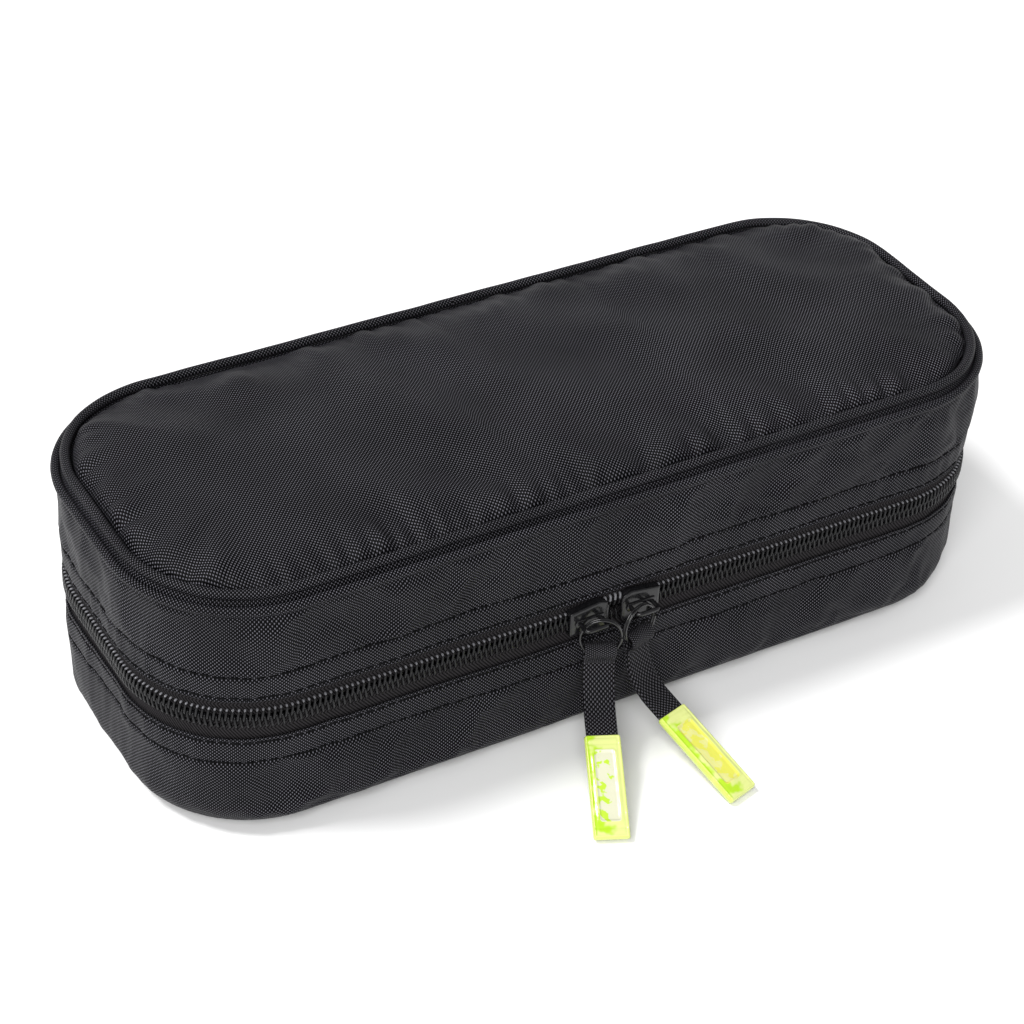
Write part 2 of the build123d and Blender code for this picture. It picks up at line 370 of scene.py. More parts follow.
def finish_piece(piece: Piece, body: Optional[Body], material: Material, slot: str, *nodes: str) -> None:
    """Dresses a piece, rides it on its body and lets it stand for its nodes.

    Args:
        piece: The finished mesh.
        body: The body it moves with, or None for a piece between two bodies, which is left on neither.
        material: Its finish.
        slot: The record's material slot; not used.
        *nodes: The nodes that it replaces.
    """
    piece.data.materials.clear()
    piece.data.materials.append(material)
    if body is not None:
        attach(piece, body.value)
    if nodes:
        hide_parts(*nodes)
    log.info("%s: %d faces on %s", piece.name, len(piece.data.polygons), body.value if body else "the hinge")


def ease(value: Array | float, low: float, high: float) -> Array:
    """A smooth step from 0 at low to 1 at high."""
    t = np.clip((np.asarray(value, float) - low) / (high - low), 0.0, 1.0)
    return t * t * (3 - 2 * t)


def bell(value: Array, middle: float, width: float) -> Array:
    """A soft bump of height 1 round a middle value."""
    return np.exp(-((value - middle) / width) ** 2)


def swells(a: Array, b: Array, seed: int, short: float, long: float) -> Array:
    """Soft random waves over two lengths in millimetres, from about -1 to 1.

    Args:
        a: The first length.
        b: The second length.
        seed: Fixes the waves.
        short: The shortest wavelength.
        long: The longest wavelength.

    Returns:
        The waves' height.
    """
    count, usual_peak = 14, 1.4
    rng = np.random.default_rng(seed)
    total = np.zeros(np.broadcast(a, b).shape)
    for _ in range(count):
        wavelength = short * (long / short) ** rng.random()
        heading = rng.random() * 2 * math.pi
        phase = rng.random() * 2 * math.pi
        turn = 2 * math.pi / wavelength
        total = total + np.sin(turn * (a * math.cos(heading) + b * math.sin(heading)) + phase)
    return total / math.sqrt(count) / usual_peak


@dataclass(frozen=True)
class Panel:
    """A rounded rectangle seen from above, in millimetres."""

    half_length: float
    half_width: float
    corner: float

    def spread(self, u: Array, v: Array) -> tuple[Array, Array]:
        """Moves a square grid onto the panel, with the grid's edge on the panel's outline.

        Args:
            u: Grid places along the length, from 0 to 1.
            v: Grid places along the width, from 0 to 1.

        Returns:
            x and y.
        """
        x0, y0 = 2 * u - 1, 2 * v - 1
        x, y = x0 * self.half_length, y0 * self.half_width
        reach = np.maximum(np.abs(x0), np.abs(y0))
        cx, cy = self.half_length - self.corner, self.half_width - self.corner
        out = np.maximum(reach, 1e-9)
        edge_x, edge_y = np.where(reach > 0, x / out, 0), np.where(reach > 0, y / out, 0)
        dx, dy = np.maximum(np.abs(edge_x) - cx, 0), np.maximum(np.abs(edge_y) - cy, 0)
        turned = (dx > 0) & (dy > 0)
        far = np.hypot(dx, dy)
        pull = np.where(turned & (far > self.corner), self.corner / np.maximum(far, 1e-9), 1.0)
        to_x = np.sign(edge_x) * np.where(turned, cx + dx * pull, np.abs(edge_x))
        to_y = np.sign(edge_y) * np.where(turned, cy + dy * pull, np.abs(edge_y))
        share = reach ** 3
        return x + (to_x - edge_x) * share, y + (to_y - edge_y) * share

    def past_corner(self, x: Array, y: Array) -> tuple[Array, Array]:
        """How far a place lies past the corners' centres in each direction."""
        return np.abs(x) - (self.half_length - self.corner), np.abs(y) - (self.half_width - self.corner)

    def depth(self, x: Array, y: Array) -> Array:
        """How far a place lies inside the edge.

        Args:
            x: Its place along the length.
            y: Its place along the width.

        Returns:
            The depth, or 0 outside.
        """
        qx, qy = self.past_corner(x, y)
        outside = np.hypot(np.maximum(qx, 0), np.maximum(qy, 0))
        return np.maximum(self.corner - outside - np.minimum(np.maximum(qx, qy), 0), 0)

    def way_round(self, x: Array, y: Array) -> Array:
        """The way along the edge to the nearest place on it, from the middle of either long side.

        Args:
            x: A place along the length.
            y: A place along the width.

        Returns:
            The way, with the back half set apart from the front half.
        """
        qx, qy = self.past_corner(x, y)
        angle = math.pi / 2 - np.arctan2(np.maximum(qy, 0), np.maximum(qx, 1e-9))
        turned = self.half_length - self.corner + self.corner * angle
        way = np.where(qx <= 0, np.abs(x), turned + np.maximum(-qy, 0))
        return np.sign(x) * way + 1000.0 * (y > 0)


@dataclass(frozen=True)
class Outline:
    """The case's outline seen from above. The way round it starts in the middle of the back, by the left."""

    half_length: float = 155.0
    half_width: float = 62.0
    corner: float = 44.0
    band_inset: float = 1.5

    @property
    def straight(self) -> float:
        """Half the straight part of the front."""
        return self.half_length - self.corner

    @property
    def side(self) -> float:
        """Half the straight part of an end."""
        return self.half_width - self.corner

    @property
    def radius(self) -> float:
        """The corner radius of the side cloth."""
        return self.corner - self.band_inset

    @property
    def length(self) -> float:
        """The whole way round the side cloth."""
        return 4 * self.straight + 4 * self.side + 2 * math.pi * self.radius

    def panel(self, inset: float) -> Panel:
        """The area inside the outline at an inset."""
        return Panel(self.half_length - inset, self.half_width - inset, self.corner - inset)

    def at(self, s: Array) -> tuple[Array, Array, Array, Array]:
        """Places and outward directions.

        Args:
            s: The way along the outline.

        Returns:
            x, y and the outward direction's x and y.
        """
        s = np.mod(np.asarray(s, float), self.length)
        a, b, quarter = self.straight, self.side, math.pi / 2 * self.radius
        ends = np.cumsum((a, quarter, 2 * b, quarter, 2 * a, quarter, 2 * b, quarter))
        centers = np.array([(-a, b), (-a, -b), (a, -b), (a, b), (a, b)])
        run = np.searchsorted(ends, s, side="right")
        straight = run % 2 == 0
        turned = np.where(straight, 0, (s - ends[run - 1]) / self.radius)
        along = np.where(straight, s - ends[np.minimum(run, 7)], 0)
        angle = math.pi / 2 * (run // 2 + 1) + turned
        nx, ny = np.cos(angle), np.sin(angle)
        cx, cy = centers[run // 2, 0], centers[run // 2, 1]
        return cx + self.radius * nx - along * ny, cy + self.radius * ny + along * nx, nx, ny


OUTLINE = Outline()


def standing_frames(s: Array, out: Array, z: Array) -> Array:
    """Frames for small pieces that stand on the side cloth: along it, outwards and up.

    Args:
        s: The way along the outline to each.
        out: How far each stands out.
        z: Its height.

    Returns:
        One 3 by 4 array each, for repeated.
    """
    x, y, nx, ny = OUTLINE.at(s)
    frames = np.zeros((len(s), 3, 4))
    frames[:, 0, 0], frames[:, 1, 0] = -ny, nx
    frames[:, 0, 1], frames[:, 1, 1] = nx, ny
    frames[:, 2, 2] = 1
    frames[:, 0, 3], frames[:, 1, 3], frames[:, 2, 3] = x + nx * out, y + ny * out, z
    return frames


@dataclass
class ClothRig:
    """Settles a sheet by cloth simulation without gravity, enlarged to a size that suits the solver."""

    enlarge: float = 20.0
    steps: int = 22

    def settle(self, piece: Piece, held: Array, spare: float, pressure: float, bend: float) -> Array:
        """Lets a sheet with spare cloth buckle between its held edges.

        Args:
            piece: The sheet, which ends with its mesh as it was.
            held: Which vertices the seam holds, as true and false.
            spare: The share by which the cloth is longer than the space it is sewn into.
            pressure: How hard the foam behind pushes.
            bend: How stiffly the cloth bends.

        Returns:
            How far each vertex moved, in millimetres.
        """
        start = coords(piece)
        activate(piece)
        set_coords(piece, start * self.enlarge)
        group = piece.vertex_groups.new(name="seam")
        group.add(np.nonzero(held)[0].tolist(), 1.0, "REPLACE")
        modifier = piece.modifiers.new("cloth", "CLOTH")
        cloth = modifier.settings
        cloth.quality = 6
        cloth.mass = 0.25
        cloth.vertex_group_mass = "seam"
        cloth.shrink_min = -spare
        cloth.tension_stiffness = cloth.compression_stiffness = 30
        cloth.shear_stiffness = 12
        cloth.bending_stiffness = bend
        cloth.air_damping = 2.0
        cloth.effector_weights.gravity = 0.0
        cloth.use_pressure = pressure > 0
        cloth.uniform_pressure_force = pressure
        modifier.collision_settings.use_collision = False
        modifier.point_cache.frame_start = 1
        modifier.point_cache.frame_end = self.steps
        for step in range(1, self.steps + 1):
            bpy.context.scene.frame_set(step)
        bpy.ops.object.modifier_apply(modifier=modifier.name)
        moved = coords(piece) / self.enlarge
        piece.vertex_groups.clear()
        set_coords(piece, start)
        bpy.context.scene.frame_set(1)
        return (moved - start) / MM


@dataclass
class CreaseField:
    """The creases that a strip of side cloth takes, kept over the way round and the height."""

    low: float
    high: float
    cells: tuple[int, int] = (330, 12)
    cap: float = 2.1
    heights: Array = field(default_factory=lambda: np.zeros((2, 2)))

    def simulate(self, spare: float, seed: int) -> None:
        """Buckles the strip flat, with its long edges sewn down, and keeps how far it moved.

        Args:
            spare: The share of spare cloth.
            seed: Fixes how the cloth lies before it buckles.
        """
        length, tall = OUTLINE.length, self.high - self.low
        across, up = self.cells

        def place(u: Array, v: Array) -> Array:
            """The flat strip, with the slight lie that it buckles from."""
            lie = 0.5 * swells(u * length, v * tall, seed, 18, 60) * np.sin(math.pi * v)
            return np.column_stack((u * length, lie, v * tall))

        strip = sheet_grid("strip", across, up, place, (length, tall))
        x, y, z = (coords(strip) / MM).T
        sewn = 0.01
        held = (z < sewn) | (z > tall - sewn) | (x < sewn) | (x > length - sewn)
        moved = ClothRig().settle(strip, held, spare, 0.0, 0.6)
        column = np.rint(x / length * across).astype(int)
        row = np.rint(z / tall * up).astype(int)
        self.heights = np.zeros((across + 1, up + 1))
        self.heights[column, row] = self.cap * np.tanh((moved[:, 1] + y) / self.cap)
        bpy.data.objects.remove(strip)
        log.info("creases of %.2f mm at most", float(np.abs(self.heights).max()))

    def at(self, s: Array, z: Array) -> Array:
        """How far the cloth stands out, between the kept heights.

        Args:
            s: The way along the outline.
            z: The height.

        Returns:
            The outward move in millimetres.
        """
        across, up = (n - 1 for n in self.heights.shape)
        a = np.mod(s, OUTLINE.length) / OUTLINE.length * across
        b = np.clip((z - self.low) / (self.high - self.low), 0, 1) * up
        a0, b0 = (np.clip(np.floor(n), 0, last - 1).astype(int) for n, last in ((a, across), (b, up)))
        fa, fb = a - a0, b - b0
        h = self.heights
        low = h[a0, b0] * (1 - fa) + h[a0 + 1, b0] * fa
        high = h[a0, b0 + 1] * (1 - fa) + h[a0 + 1, b0 + 1] * fa
        return low * (1 - fb) + high * fb


@dataclass
class SoftForm:
    """How the sewn cloth stands in and out of the plain outline. Every sewn piece follows it."""

    slack: float = 0.8
    fine: float = 0.18
    slider_reach: float = 34.0
    tray_creases: CreaseField = field(default_factory=lambda: CreaseField(5.0, 30.0))
    lid_creases: CreaseField = field(default_factory=lambda: CreaseField(63.5, 86.5))

    def prepare(self) -> None:
        """Runs the simulations of the two side strips."""
        self.tray_creases.simulate(0.035, 3)
        self.lid_creases.simulate(0.04, 8)

    def outward(self, s: Array, z: Array) -> Array:
        """How far the cloth stands out. It is calm at the zip, the rim, the floor, the ends and the sliders.

        Args:
            s: The way along the outline.
            z: The height.

        Returns:
            The outward move in millimetres.
        """
        s, z = np.broadcast_arrays(np.asarray(s, float), np.asarray(z, float))
        half = OUTLINE.length / 2
        around = math.pi * s / half
        x, y = half * np.cos(around), half * np.sin(around)
        broad = swells(x / 2, y / 2 + z, 3, 60, 150)
        fine = swells(x, y + 0.8 * z, 11, 14, 40)
        from_zip = np.abs(z - ZIP_HEIGHT)
        hold = (0.25 + 0.75 * ease(from_zip, 3, 16)) * (1 - 0.85 * ease(z, 76, 87)) * ease(z, -1, 14)
        at_sliders = 1 - ease(np.abs(s - half - SLIDERS_MEET), 0.5 * self.slider_reach, self.slider_reach)
        clear = 1 - at_sliders * (1 - ease(from_zip, 8, 20))
        on_tray = z < ZIP_HEIGHT
        creased = np.where(on_tray, self.tray_creases.at(s, z), self.lid_creases.at(s, z))
        at_ends = np.where(on_tray, 0.75, 0.5) * ease(np.abs(OUTLINE.at(s)[2]), 0.2, 0.8)
        return (self.slack * broad + self.fine * fine) * hold * clear + creased * clear * (1 - at_ends)


FORM = SoftForm()


def hem_pucker(edge: float, away: int) -> Callable[[Array, Array], Array]:
    """The small ripple that a stitched hem has, with a groove along each row of stitches.

    Args:
        edge: The folded edge's height.
        away: 1 if the cloth goes up from its edge, and -1 if it goes down.

    Returns:
        A function for the outward move.
    """
    seed = 29 if away > 0 else 31

    def move(s: Array, z: Array) -> Array:
        """The outward move.

        Args:
            s: The way along the outline.
            z: The height.

        Returns:
            The move in millimetres.
        """
        from_edge = (z - edge) * away
        ripple = swells(s, s * 0, seed, 6, 16) * bell(from_edge, 5.5, 4.0)
        groove = bell(from_edge, STITCH_ROWS["edge"], 0.6) + 1.2 * bell(from_edge, STITCH_ROWS["inner"], 0.8)
        return 0.42 * ripple - 0.55 * groove

    return move


@dataclass(frozen=True)
class Profile:
    """A cloth's cross-section: a run of inset and height pairs in millimetres, from one edge to the other."""

    points: Points

    @property
    def steps(self) -> Array:
        """The way along the section to each point."""
        run = np.asarray(self.points, float)
        return np.concatenate(([0.0], np.cumsum(np.hypot(*np.diff(run, axis=0).T))))

    @property
    def length(self) -> float:
        """The cloth's width."""
        return float(self.steps[-1])

    def at(self, t: Array) -> tuple[Array, Array]:
        """Inset and height.

        Args:
            t: The share of the way along the section.

        Returns:
            Both in millimetres.
        """
        run = np.asarray(self.points, float)
        way = np.asarray(t, float) * self.length
        return np.interp(way, self.steps, run[:, 0]), np.interp(way, self.steps, run[:, 1])


def arc(center: tuple[float, float], radius: float, start: float, end: float, count: int) -> list:
    """Points on an arc in the section, with angles in degrees from the inset axis."""
    angles = np.radians(np.linspace(start, end, count))
    return [(center[0] + radius * math.cos(a), center[1] + radius * math.sin(a)) for a in angles]


def slab_section(inner: float, outer: float, low: float, high: float, turn: float = 0.4) -> Profile:
    """A closed section of a soft slab with rounded edges.

    Args:
        inner: The inset of its outer face.
        outer: The inset of its inner face.
        low: Its lowest height.
        high: Its highest height.
        turn: The radius of its edges.

    Returns:
        The section.
    """
    near, far, bottom, top = inner + turn, outer - turn, low + turn, high - turn
    points = arc((near, top), turn, 180, 90, 4) + arc((far, top), turn, 90, 0, 4)
    points += arc((far, bottom), turn, 0, -90, 4) + arc((near, bottom), turn, 270, 180, 4)
    return Profile(points + points[:1])


def round_wall(
    name: str, profile: Profile, cells_s: int, cells_t: int, span: Optional[tuple[float, float]] = None,
    extra: Optional[Callable[[Array, Array], Array]] = None, follow: float = 1.0, capped: bool = False,
) -> Piece:
    """Cloth that runs round the case with one cross-section.

    Args:
        name: The piece's name.
        profile: Its cross-section.
        cells_s: Cells along the case's outline.
        cells_t: Cells across the cloth.
        span: Where it starts and ends along the outline, or None to go all the way round.
        extra: A further outward move, from the way along and the height.
        follow: How much of the case's soft form it takes.
        capped: Whether a closed section narrows to nothing at its ends, which closes them.

    Returns:
        A single sheet with UVs in millimetres.
    """
    start, end = span if span is not None else (0.0, OUTLINE.length)
    middle = np.mean(np.asarray(profile.points), axis=0)

    def place(u: Array, v: Array) -> Array:
        """Puts the cloth on the outline.

        Args:
            u: The share of the way round.
            v: The share of the way across.

        Returns:
            x, y and z.
        """
        s = start + (end - start) * u
        inset, z = profile.at(v)
        if capped:
            shut = np.where((u < 1e-6) | (u > 1 - 1e-6), 0.0, 1.0)
            inset, z = middle[0] + (inset - middle[0]) * shut, middle[1] + (z - middle[1]) * shut
        x, y, nx, ny = OUTLINE.at(s)
        out = OUTLINE.band_inset - inset + follow * FORM.outward(s, z)
        if extra is not None:
            out = out + extra(s, z)
        return np.column_stack((x + nx * out, y + ny * out, z))

    piece = sheet_grid(name, cells_s, cells_t, place, (end - start, profile.length))
    weld_seam(piece)
    return piece


def flat_cloth(
    name: str, inset: float, level: float, cells: tuple[int, int], lift: float, seed: int
) -> Piece:
    """A cloth panel that fills the outline at an inset.

    Args:
        name: The piece's name.
        inset: How far its edge lies inside the outline.
        level: Its height.
        cells: Its cells along and across.
        lift: How high its soft ripples are.
        seed: Fixes the ripples.

    Returns:
        A single sheet.
    """
    panel = OUTLINE.panel(inset)

    def place(u: Array, v: Array) -> Array:
        """Spreads the cloth over the panel.

        Args:
            u: The share of the length.
            v: The share of the width.

        Returns:
            x, y and z.
        """
        x, y = panel.spread(u, v)
        calm = ease(panel.depth(x, y), 0, 8)
        return np.column_stack((x, y, level + lift * calm * (0.5 + 0.5 * swells(x, y, seed, 30, 90))))

    return sheet_grid(name, *cells, place)


def linear(code: str) -> tuple[float, ...]:
    """Turns an sRGB hex colour into linear red, green, blue and alpha."""
    channels = [int(code[i:i + 2], 16) / 255 for i in (1, 3, 5)]
    return tuple(c / 12.92 if c <= 0.04045 else ((c + 0.055) / 1.055) ** 2.4 for c in channels) + (1.0,)


def add_node(
    tree: bpy.types.NodeTree, kind: str, settings: Optional[dict] = None, **inputs: object
) -> "Signal":
    """Adds a node with its settings and its inputs.

    Args:
        tree: The material's node tree.
        kind: The node's type after ShaderNode.
        settings: Attributes to set on it.
        **inputs: A socket's name or i and its number, with a value or another node's signal.

    Returns:
        The node's first output, or the one that suits the node's data type.
    """
    node = tree.nodes.new(f"ShaderNode{kind}")
    for key, value in (settings or {}).items():
        setattr(node, key, value)
    for key, value in inputs.items():
        numbered = key[0] == "i" and key[1:].isdigit()
        socket = node.inputs[int(key[1:])] if numbered else node.inputs[key.replace("_", " ")]
        if isinstance(value, Signal):
            tree.links.new(value.socket, socket)
        else:
            socket.default_value = value
    return Signal(tree, next((out for out in node.outputs if out.enabled), None))


@dataclass(frozen=True)
class Signal:
    """A node's output that takes ordinary arithmetic, so that a material reads like its formula."""

    tree: bpy.types.NodeTree
    socket: Optional[bpy.types.NodeSocket]

    def math(self, operation: str, other: "Signal | float" = 0.0) -> "Signal":
        """One arithmetic step with a second value."""
        return add_node(self.tree, "Math", {"operation": operation}, i0=self, i1=other)

    def __add__(self, other: "Signal | float") -> "Signal":
        """The sum."""
        return self.math("ADD", other)

    def __sub__(self, other: "Signal | float") -> "Signal":
        """The difference."""
        return self.math("SUBTRACT", other)

    def __mul__(self, other: "Signal | float") -> "Signal":
        """The product."""
        return self.math("MULTIPLY", other)

    def __pow__(self, other: float) -> "Signal":
        """The power."""
        return self.math("POWER", other)

    def __abs__(self) -> "Signal":
        """The size without its sign."""
        return self.math("ABSOLUTE")

    def sine(self) -> "Signal":
        """The sine of an angle in radians."""
        return self.math("SINE")

    def at_least(self, other: "Signal | float") -> "Signal":
        """The larger of two values."""
        return self.math("MAXIMUM", other)

    def step(self, low: float, high: float) -> "Signal":
        """A smooth step from 0 at low to 1 at high."""
        return add_node(self.tree, "MapRange", {"interpolation_type": "SMOOTHSTEP"}, i0=self, i1=low, i2=high)

    def mix(self, first: object, second: object) -> "Signal":
        """A mix of two colours, with this as the share of the second."""
        return add_node(self.tree, "Mix", {"data_type": "RGBA"}, i0=self, i6=first, i7=second)

    def noise(self, scale: float, detail: float = 3.0) -> "Signal":
        """Soft noise over these coordinates."""
        return add_node(self.tree, "TexNoise", None, Vector=self, Scale=scale, Detail=detail, Roughness=0.5)


class Finish:
    """A material under construction."""

    def __init__(self, name: str, space: str) -> None:
        """Starts an empty material.

        Args:
            name: The material's name.
            space: UV or Object, the coordinates that it is made in.
        """
        self.material = bpy.data.materials.new(name)
        self.material.use_nodes = True
        self.tree = self.material.node_tree
        self.tree.nodes.clear()
        places = self.tree.nodes.new("ShaderNodeTexCoord")
        self.place = Signal(self.tree, places.outputs[space])
        split = self.tree.nodes.new("ShaderNodeSeparateXYZ")
        self.tree.links.new(self.place.socket, split.inputs[0])
        self.x, self.y, self.z = (Signal(self.tree, output) for output in split.outputs)

    def surface(self, strength: float, depth: float, height: Signal, **inputs: object) -> Material:
        """Ends the material with its shader.

        Args:
            strength: How strongly its relief shows.
            depth: Its relief's depth in metres.
            height: The relief.
            **inputs: The shader's inputs.

        Returns:
            The material.
        """
        bump = add_node(self.tree, "Bump", None, Strength=strength, Distance=depth, Height=height)
        shader = add_node(self.tree, "BsdfPrincipled", None, Normal=bump, **inputs)
        add_node(self.tree, "OutputMaterial", None, Surface=shader)
        return self.material


@dataclass(frozen=True)
class WovenNylon:
    """Coated nylon in a plain weave of thick flat yarns, which show as rows of small light and dark cells;
    the light cells are painted highlights on the raised yarns.
    """

    name: str
    yarn_highlight: str = "#77767e"
    yarn_low: str = "#010102"
    pitch_mm: float = 0.62
    relief: float = 0.0002
    roughness: float = 0.45
    shine: float = 0.05
    crisp: float = 4.6

    def build(self) -> Material:
        """Makes the material. Real yarns are 0.4 mm wide, drawn wider so that the weave shows.

        Returns:
            The material.
        """
        f = Finish(self.name, "UV")
        drift = (f.place.noise(0.05, 2.0) - 0.5) * 1.2
        u, v = (way * (1 / self.pitch_mm) + drift for way in (f.x, f.y))

        def yarn(across: Signal, along: Signal, rise: float) -> Signal:
            """One set of yarns, rounded across and going over and under along its length."""
            weave = (along * math.pi + across.math("FLOOR") * math.pi).sine()
            return abs((across * math.pi).sine()) ** 0.6 * (weave * rise + 0.5)

        warp, weft = yarn(u, v, 0.5), yarn(v, u, -0.5)
        height = warp.at_least(weft)
        # Painted highlight: the raised warp yarns take the pale highlight colour, and the broad noise below
        # paints soft patches of sheen.
        shade = ((warp * 1.15 - weft * 0.25) * 0.82 + 0.06).at_least(0.0) ** self.crisp
        shade = shade * (f.place.noise(0.03) * 1.1 + 0.45)
        return f.surface(
            0.6, self.relief, height, Base_Color=shade.mix(linear(self.yarn_low), linear(self.yarn_highlight)),
            Roughness=height * -0.12 + (self.roughness + 0.06), IOR=1.5, Specular_IOR_Level=self.shine,
        )


@dataclass(frozen=True)
class HerringboneTape:
    """Woven polyester tape: fine ribs that slope one way and then the other, matt black with little shine."""

    name: str
    rib_mm: float = 1.15
    wale_mm: float = 3.9
    high: str = "#302e30"
    low: str = "#010101"

    def build(self) -> Material:
        """Makes the material.

        Returns:
            The material.
        """
        f = Finish(self.name, "UV")
        slope = f.y.math("PINGPONG", self.wale_mm) * 0.8 + f.x
        rib = abs((slope * (math.pi / self.rib_mm)).sine()) ** 1.3
        shade = rib * (f.place.noise(2.2, 2.0) * 0.8 + 0.5)
        return f.surface(
            0.8, 0.00025, rib, Base_Color=shade.mix(linear(self.low), linear(self.high)), Roughness=0.7,
            IOR=1.5, Specular_IOR_Level=0.06,
        )


@dataclass(frozen=True)
class ClosedCellFoam:
    """Grey polyethylene foam sheet, skived from a block: fine closed bubbles in a dull, dry surface."""

    name: str
    bubble_mm: float = 0.9

    def build(self) -> Material:
        """Makes the material.

        Returns:
            The material.
        """
        f = Finish(self.name, "Object")
        cells = add_node(f.tree, "TexVoronoi", None, Vector=f.place, Scale=1 / (self.bubble_mm * MM))
        return f.surface(
            0.4, 0.0002, cells, Base_Color=(cells * 0.5).mix(linear("#47474a"), linear("#2c2c2e")),
            Roughness=0.9, Specular_IOR_Level=0.2,
        )


@dataclass(frozen=True)
class Plain:
    """A smooth hard finish with faint scuffs, painted pale grey as a highlight where it stands above a set
    height.
    """

    name: str
    color: str
    roughness: float
    coat: float = 0.0
    shine: float = 0.5
    highlight_above: float = 1000.0
    scuff_mm: float = 1.5

    def build(self) -> Material:
        """Makes the material.

        Returns:
            The material.
        """
        f = Finish(self.name, "Object")
        scuff = f.place.noise(1 / (self.scuff_mm * MM), 4.0)
        tint = (scuff * 0.12).mix(linear(self.color), linear("#5a5a5e"))
        # Painted highlight: the colour turns pale grey above the set height, on the coil's top bends.
        painted_highlight = f.z.step(self.highlight_above * MM, (self.highlight_above + 0.35) * MM)
        return f.surface(
            0.15, 0.00005, scuff, Base_Color=painted_highlight.mix(tint, linear("#6e6e72")),
            Roughness=(scuff - 0.5) * 0.25 + self.roughness, Coat_Weight=self.coat, Coat_Roughness=0.12,
            Specular_IOR_Level=self.shine,
        )


@dataclass(frozen=True)
class WeldedVinyl:
    """Fluorescent yellow-green vinyl, welded round a reflective insert: glossy, bright-edged, blotched."""

    name: str
    window: str = "#cacab0"
    blotch: str = "#aed030"
    blotch_from: float = 0.57
    light_streaks: float = 0.0
    window_half_length: float = 11.3
    window_half_width: float = 2.4

    def build(self) -> Material:
        """Makes the material. Its UV map has the sleeve's length and width in millimetres.

        Returns:
            The material.
        """
        f = Finish(self.name, "UV")
        along, across = abs(f.x), abs(f.y)
        soft, fine = f.place.noise(0.16, 2.0), f.place.noise(0.3, 2.0)
        border = (f.y * 0.03 + soft).step(0.36, 0.5).mix(linear("#a6cc1c"), linear("#ccd482"))
        blotches = (f.y * -0.022 + fine).step(self.blotch_from, self.blotch_from + 0.05)
        # Painted light: warm streaks of light across the window, used on the right sleeve's copy.
        light_streak = abs((f.y * 2.4 + soft * 5.0).sine()) ** 3.0 * self.light_streaks
        pane = light_streak.mix(blotches.mix(linear(self.window), linear(self.blotch)), linear("#dcc648"))
        past_end = (along - self.window_half_length).at_least(0.0)
        past_side = (across - self.window_half_width).at_least(0.0)
        inside = (past_end * past_end + past_side * past_side).math("SQRT").step(1.05, 0.8)
        rim = across.step(4.9, 5.4).at_least(along.step(16.8, 17.2)) * 0.75
        color = rim.mix(inside.mix(border, pane), linear("#c8d468"))
        return f.surface(
            0.3, 0.0004, fine, Base_Color=color, Roughness=0.2, IOR=1.53, Coat_Weight=0.5,
            Coat_Roughness=0.06, Emission_Color=color, Emission_Strength=0.03,
        )


class Finishes:
    """Every material of the pouch."""

    def __init__(self) -> None:
        """Builds them all."""
        # Coated oxford nylon: black, with rows of small painted highlights on its yarns that give the cloth
        # its grain.
        self.cloth = WovenNylon("oxford_nylon").build()
        # The same cloth stretched over the pad, which catches a little more light.
        self.top = WovenNylon("oxford_nylon_top", shine=0.06).build()
        # The same cloth cut on the bias round the cord, with its yarns pulled closer together.
        self.cord = WovenNylon("bias_cord_cloth", yarn_highlight="#75747b", pitch_mm=0.6).build()
        # Thin taffeta: a finer, flatter weave with a soft sheen, partly real shine and partly painted
        # highlight in its pale cells, which makes the inside look smooth.
        self.lining = WovenNylon(
            "taffeta_lining", yarn_highlight="#444449", yarn_low="#0a0a0c", pitch_mm=0.6, relief=0.0001,
            roughness=0.42, shine=0.3, crisp=1.2,
        ).build()
        # Ribbed polyester ribbon over the raw seams, a shade greyer than the zip's tape.
        self.ribbon = HerringboneTape("binding_ribbon", 0.8, 6.5, "#2e2e32", "#08080a").build()
        # The zip's tape: dull black herringbone that sets off the brighter coil.
        self.tape = HerringboneTape("herringbone_tape").build()
        # Narrow webbing in a coarse basket weave: black, with painted highlights as pale flecks.
        self.webbing = WovenNylon(
            "basket_webbing", yarn_highlight="#5e5d62", yarn_low="#010102", pitch_mm=0.62, relief=0.0003,
            roughness=0.5, shine=0.06, crisp=2.3,
        ).build()
        # Nylon filament: smooth and black, with a painted highlight in pale grey on the top bends of the
        # lid's coil, where light from above catches them.
        self.coil = Plain("nylon_filament", "#030304", 0.2, shine=0.22, highlight_above=50.6).build()
        # Matt sewing thread, darker than the cloth, so that each stitch shows as a dark dash.
        self.thread = Plain("polyester_thread", "#000000", 0.7, shine=0.02).build()
        # Black lacquer over cast zinc: dark planes with soft highlights along their edges.
        self.lacquer = Plain("lacquered_zinc", "#030304", 0.22, 0.2, 0.3).build()
        # Black lacquer over steel wire: a thin bright line along each turn.
        self.wire = Plain("lacquered_wire", "#060607", 0.2, 0.4, 0.4).build()
        # Closed-cell foam: dull grey with fine bubbles.
        self.foam = ClosedCellFoam("polyethylene_foam").build()
        # Vinyl over a silvery insert: a cream window with a few green blotches in a yellow border.
        self.vinyl_left = WeldedVinyl("welded_vinyl_left").build()
        # The same vinyl painted as if turned to the light: a yellower window with faint warm painted streaks
        # of light.
        self.vinyl_right = WeldedVinyl("welded_vinyl_right", "#ccce50", "#cdcf84", 0.5, 0.22).build()


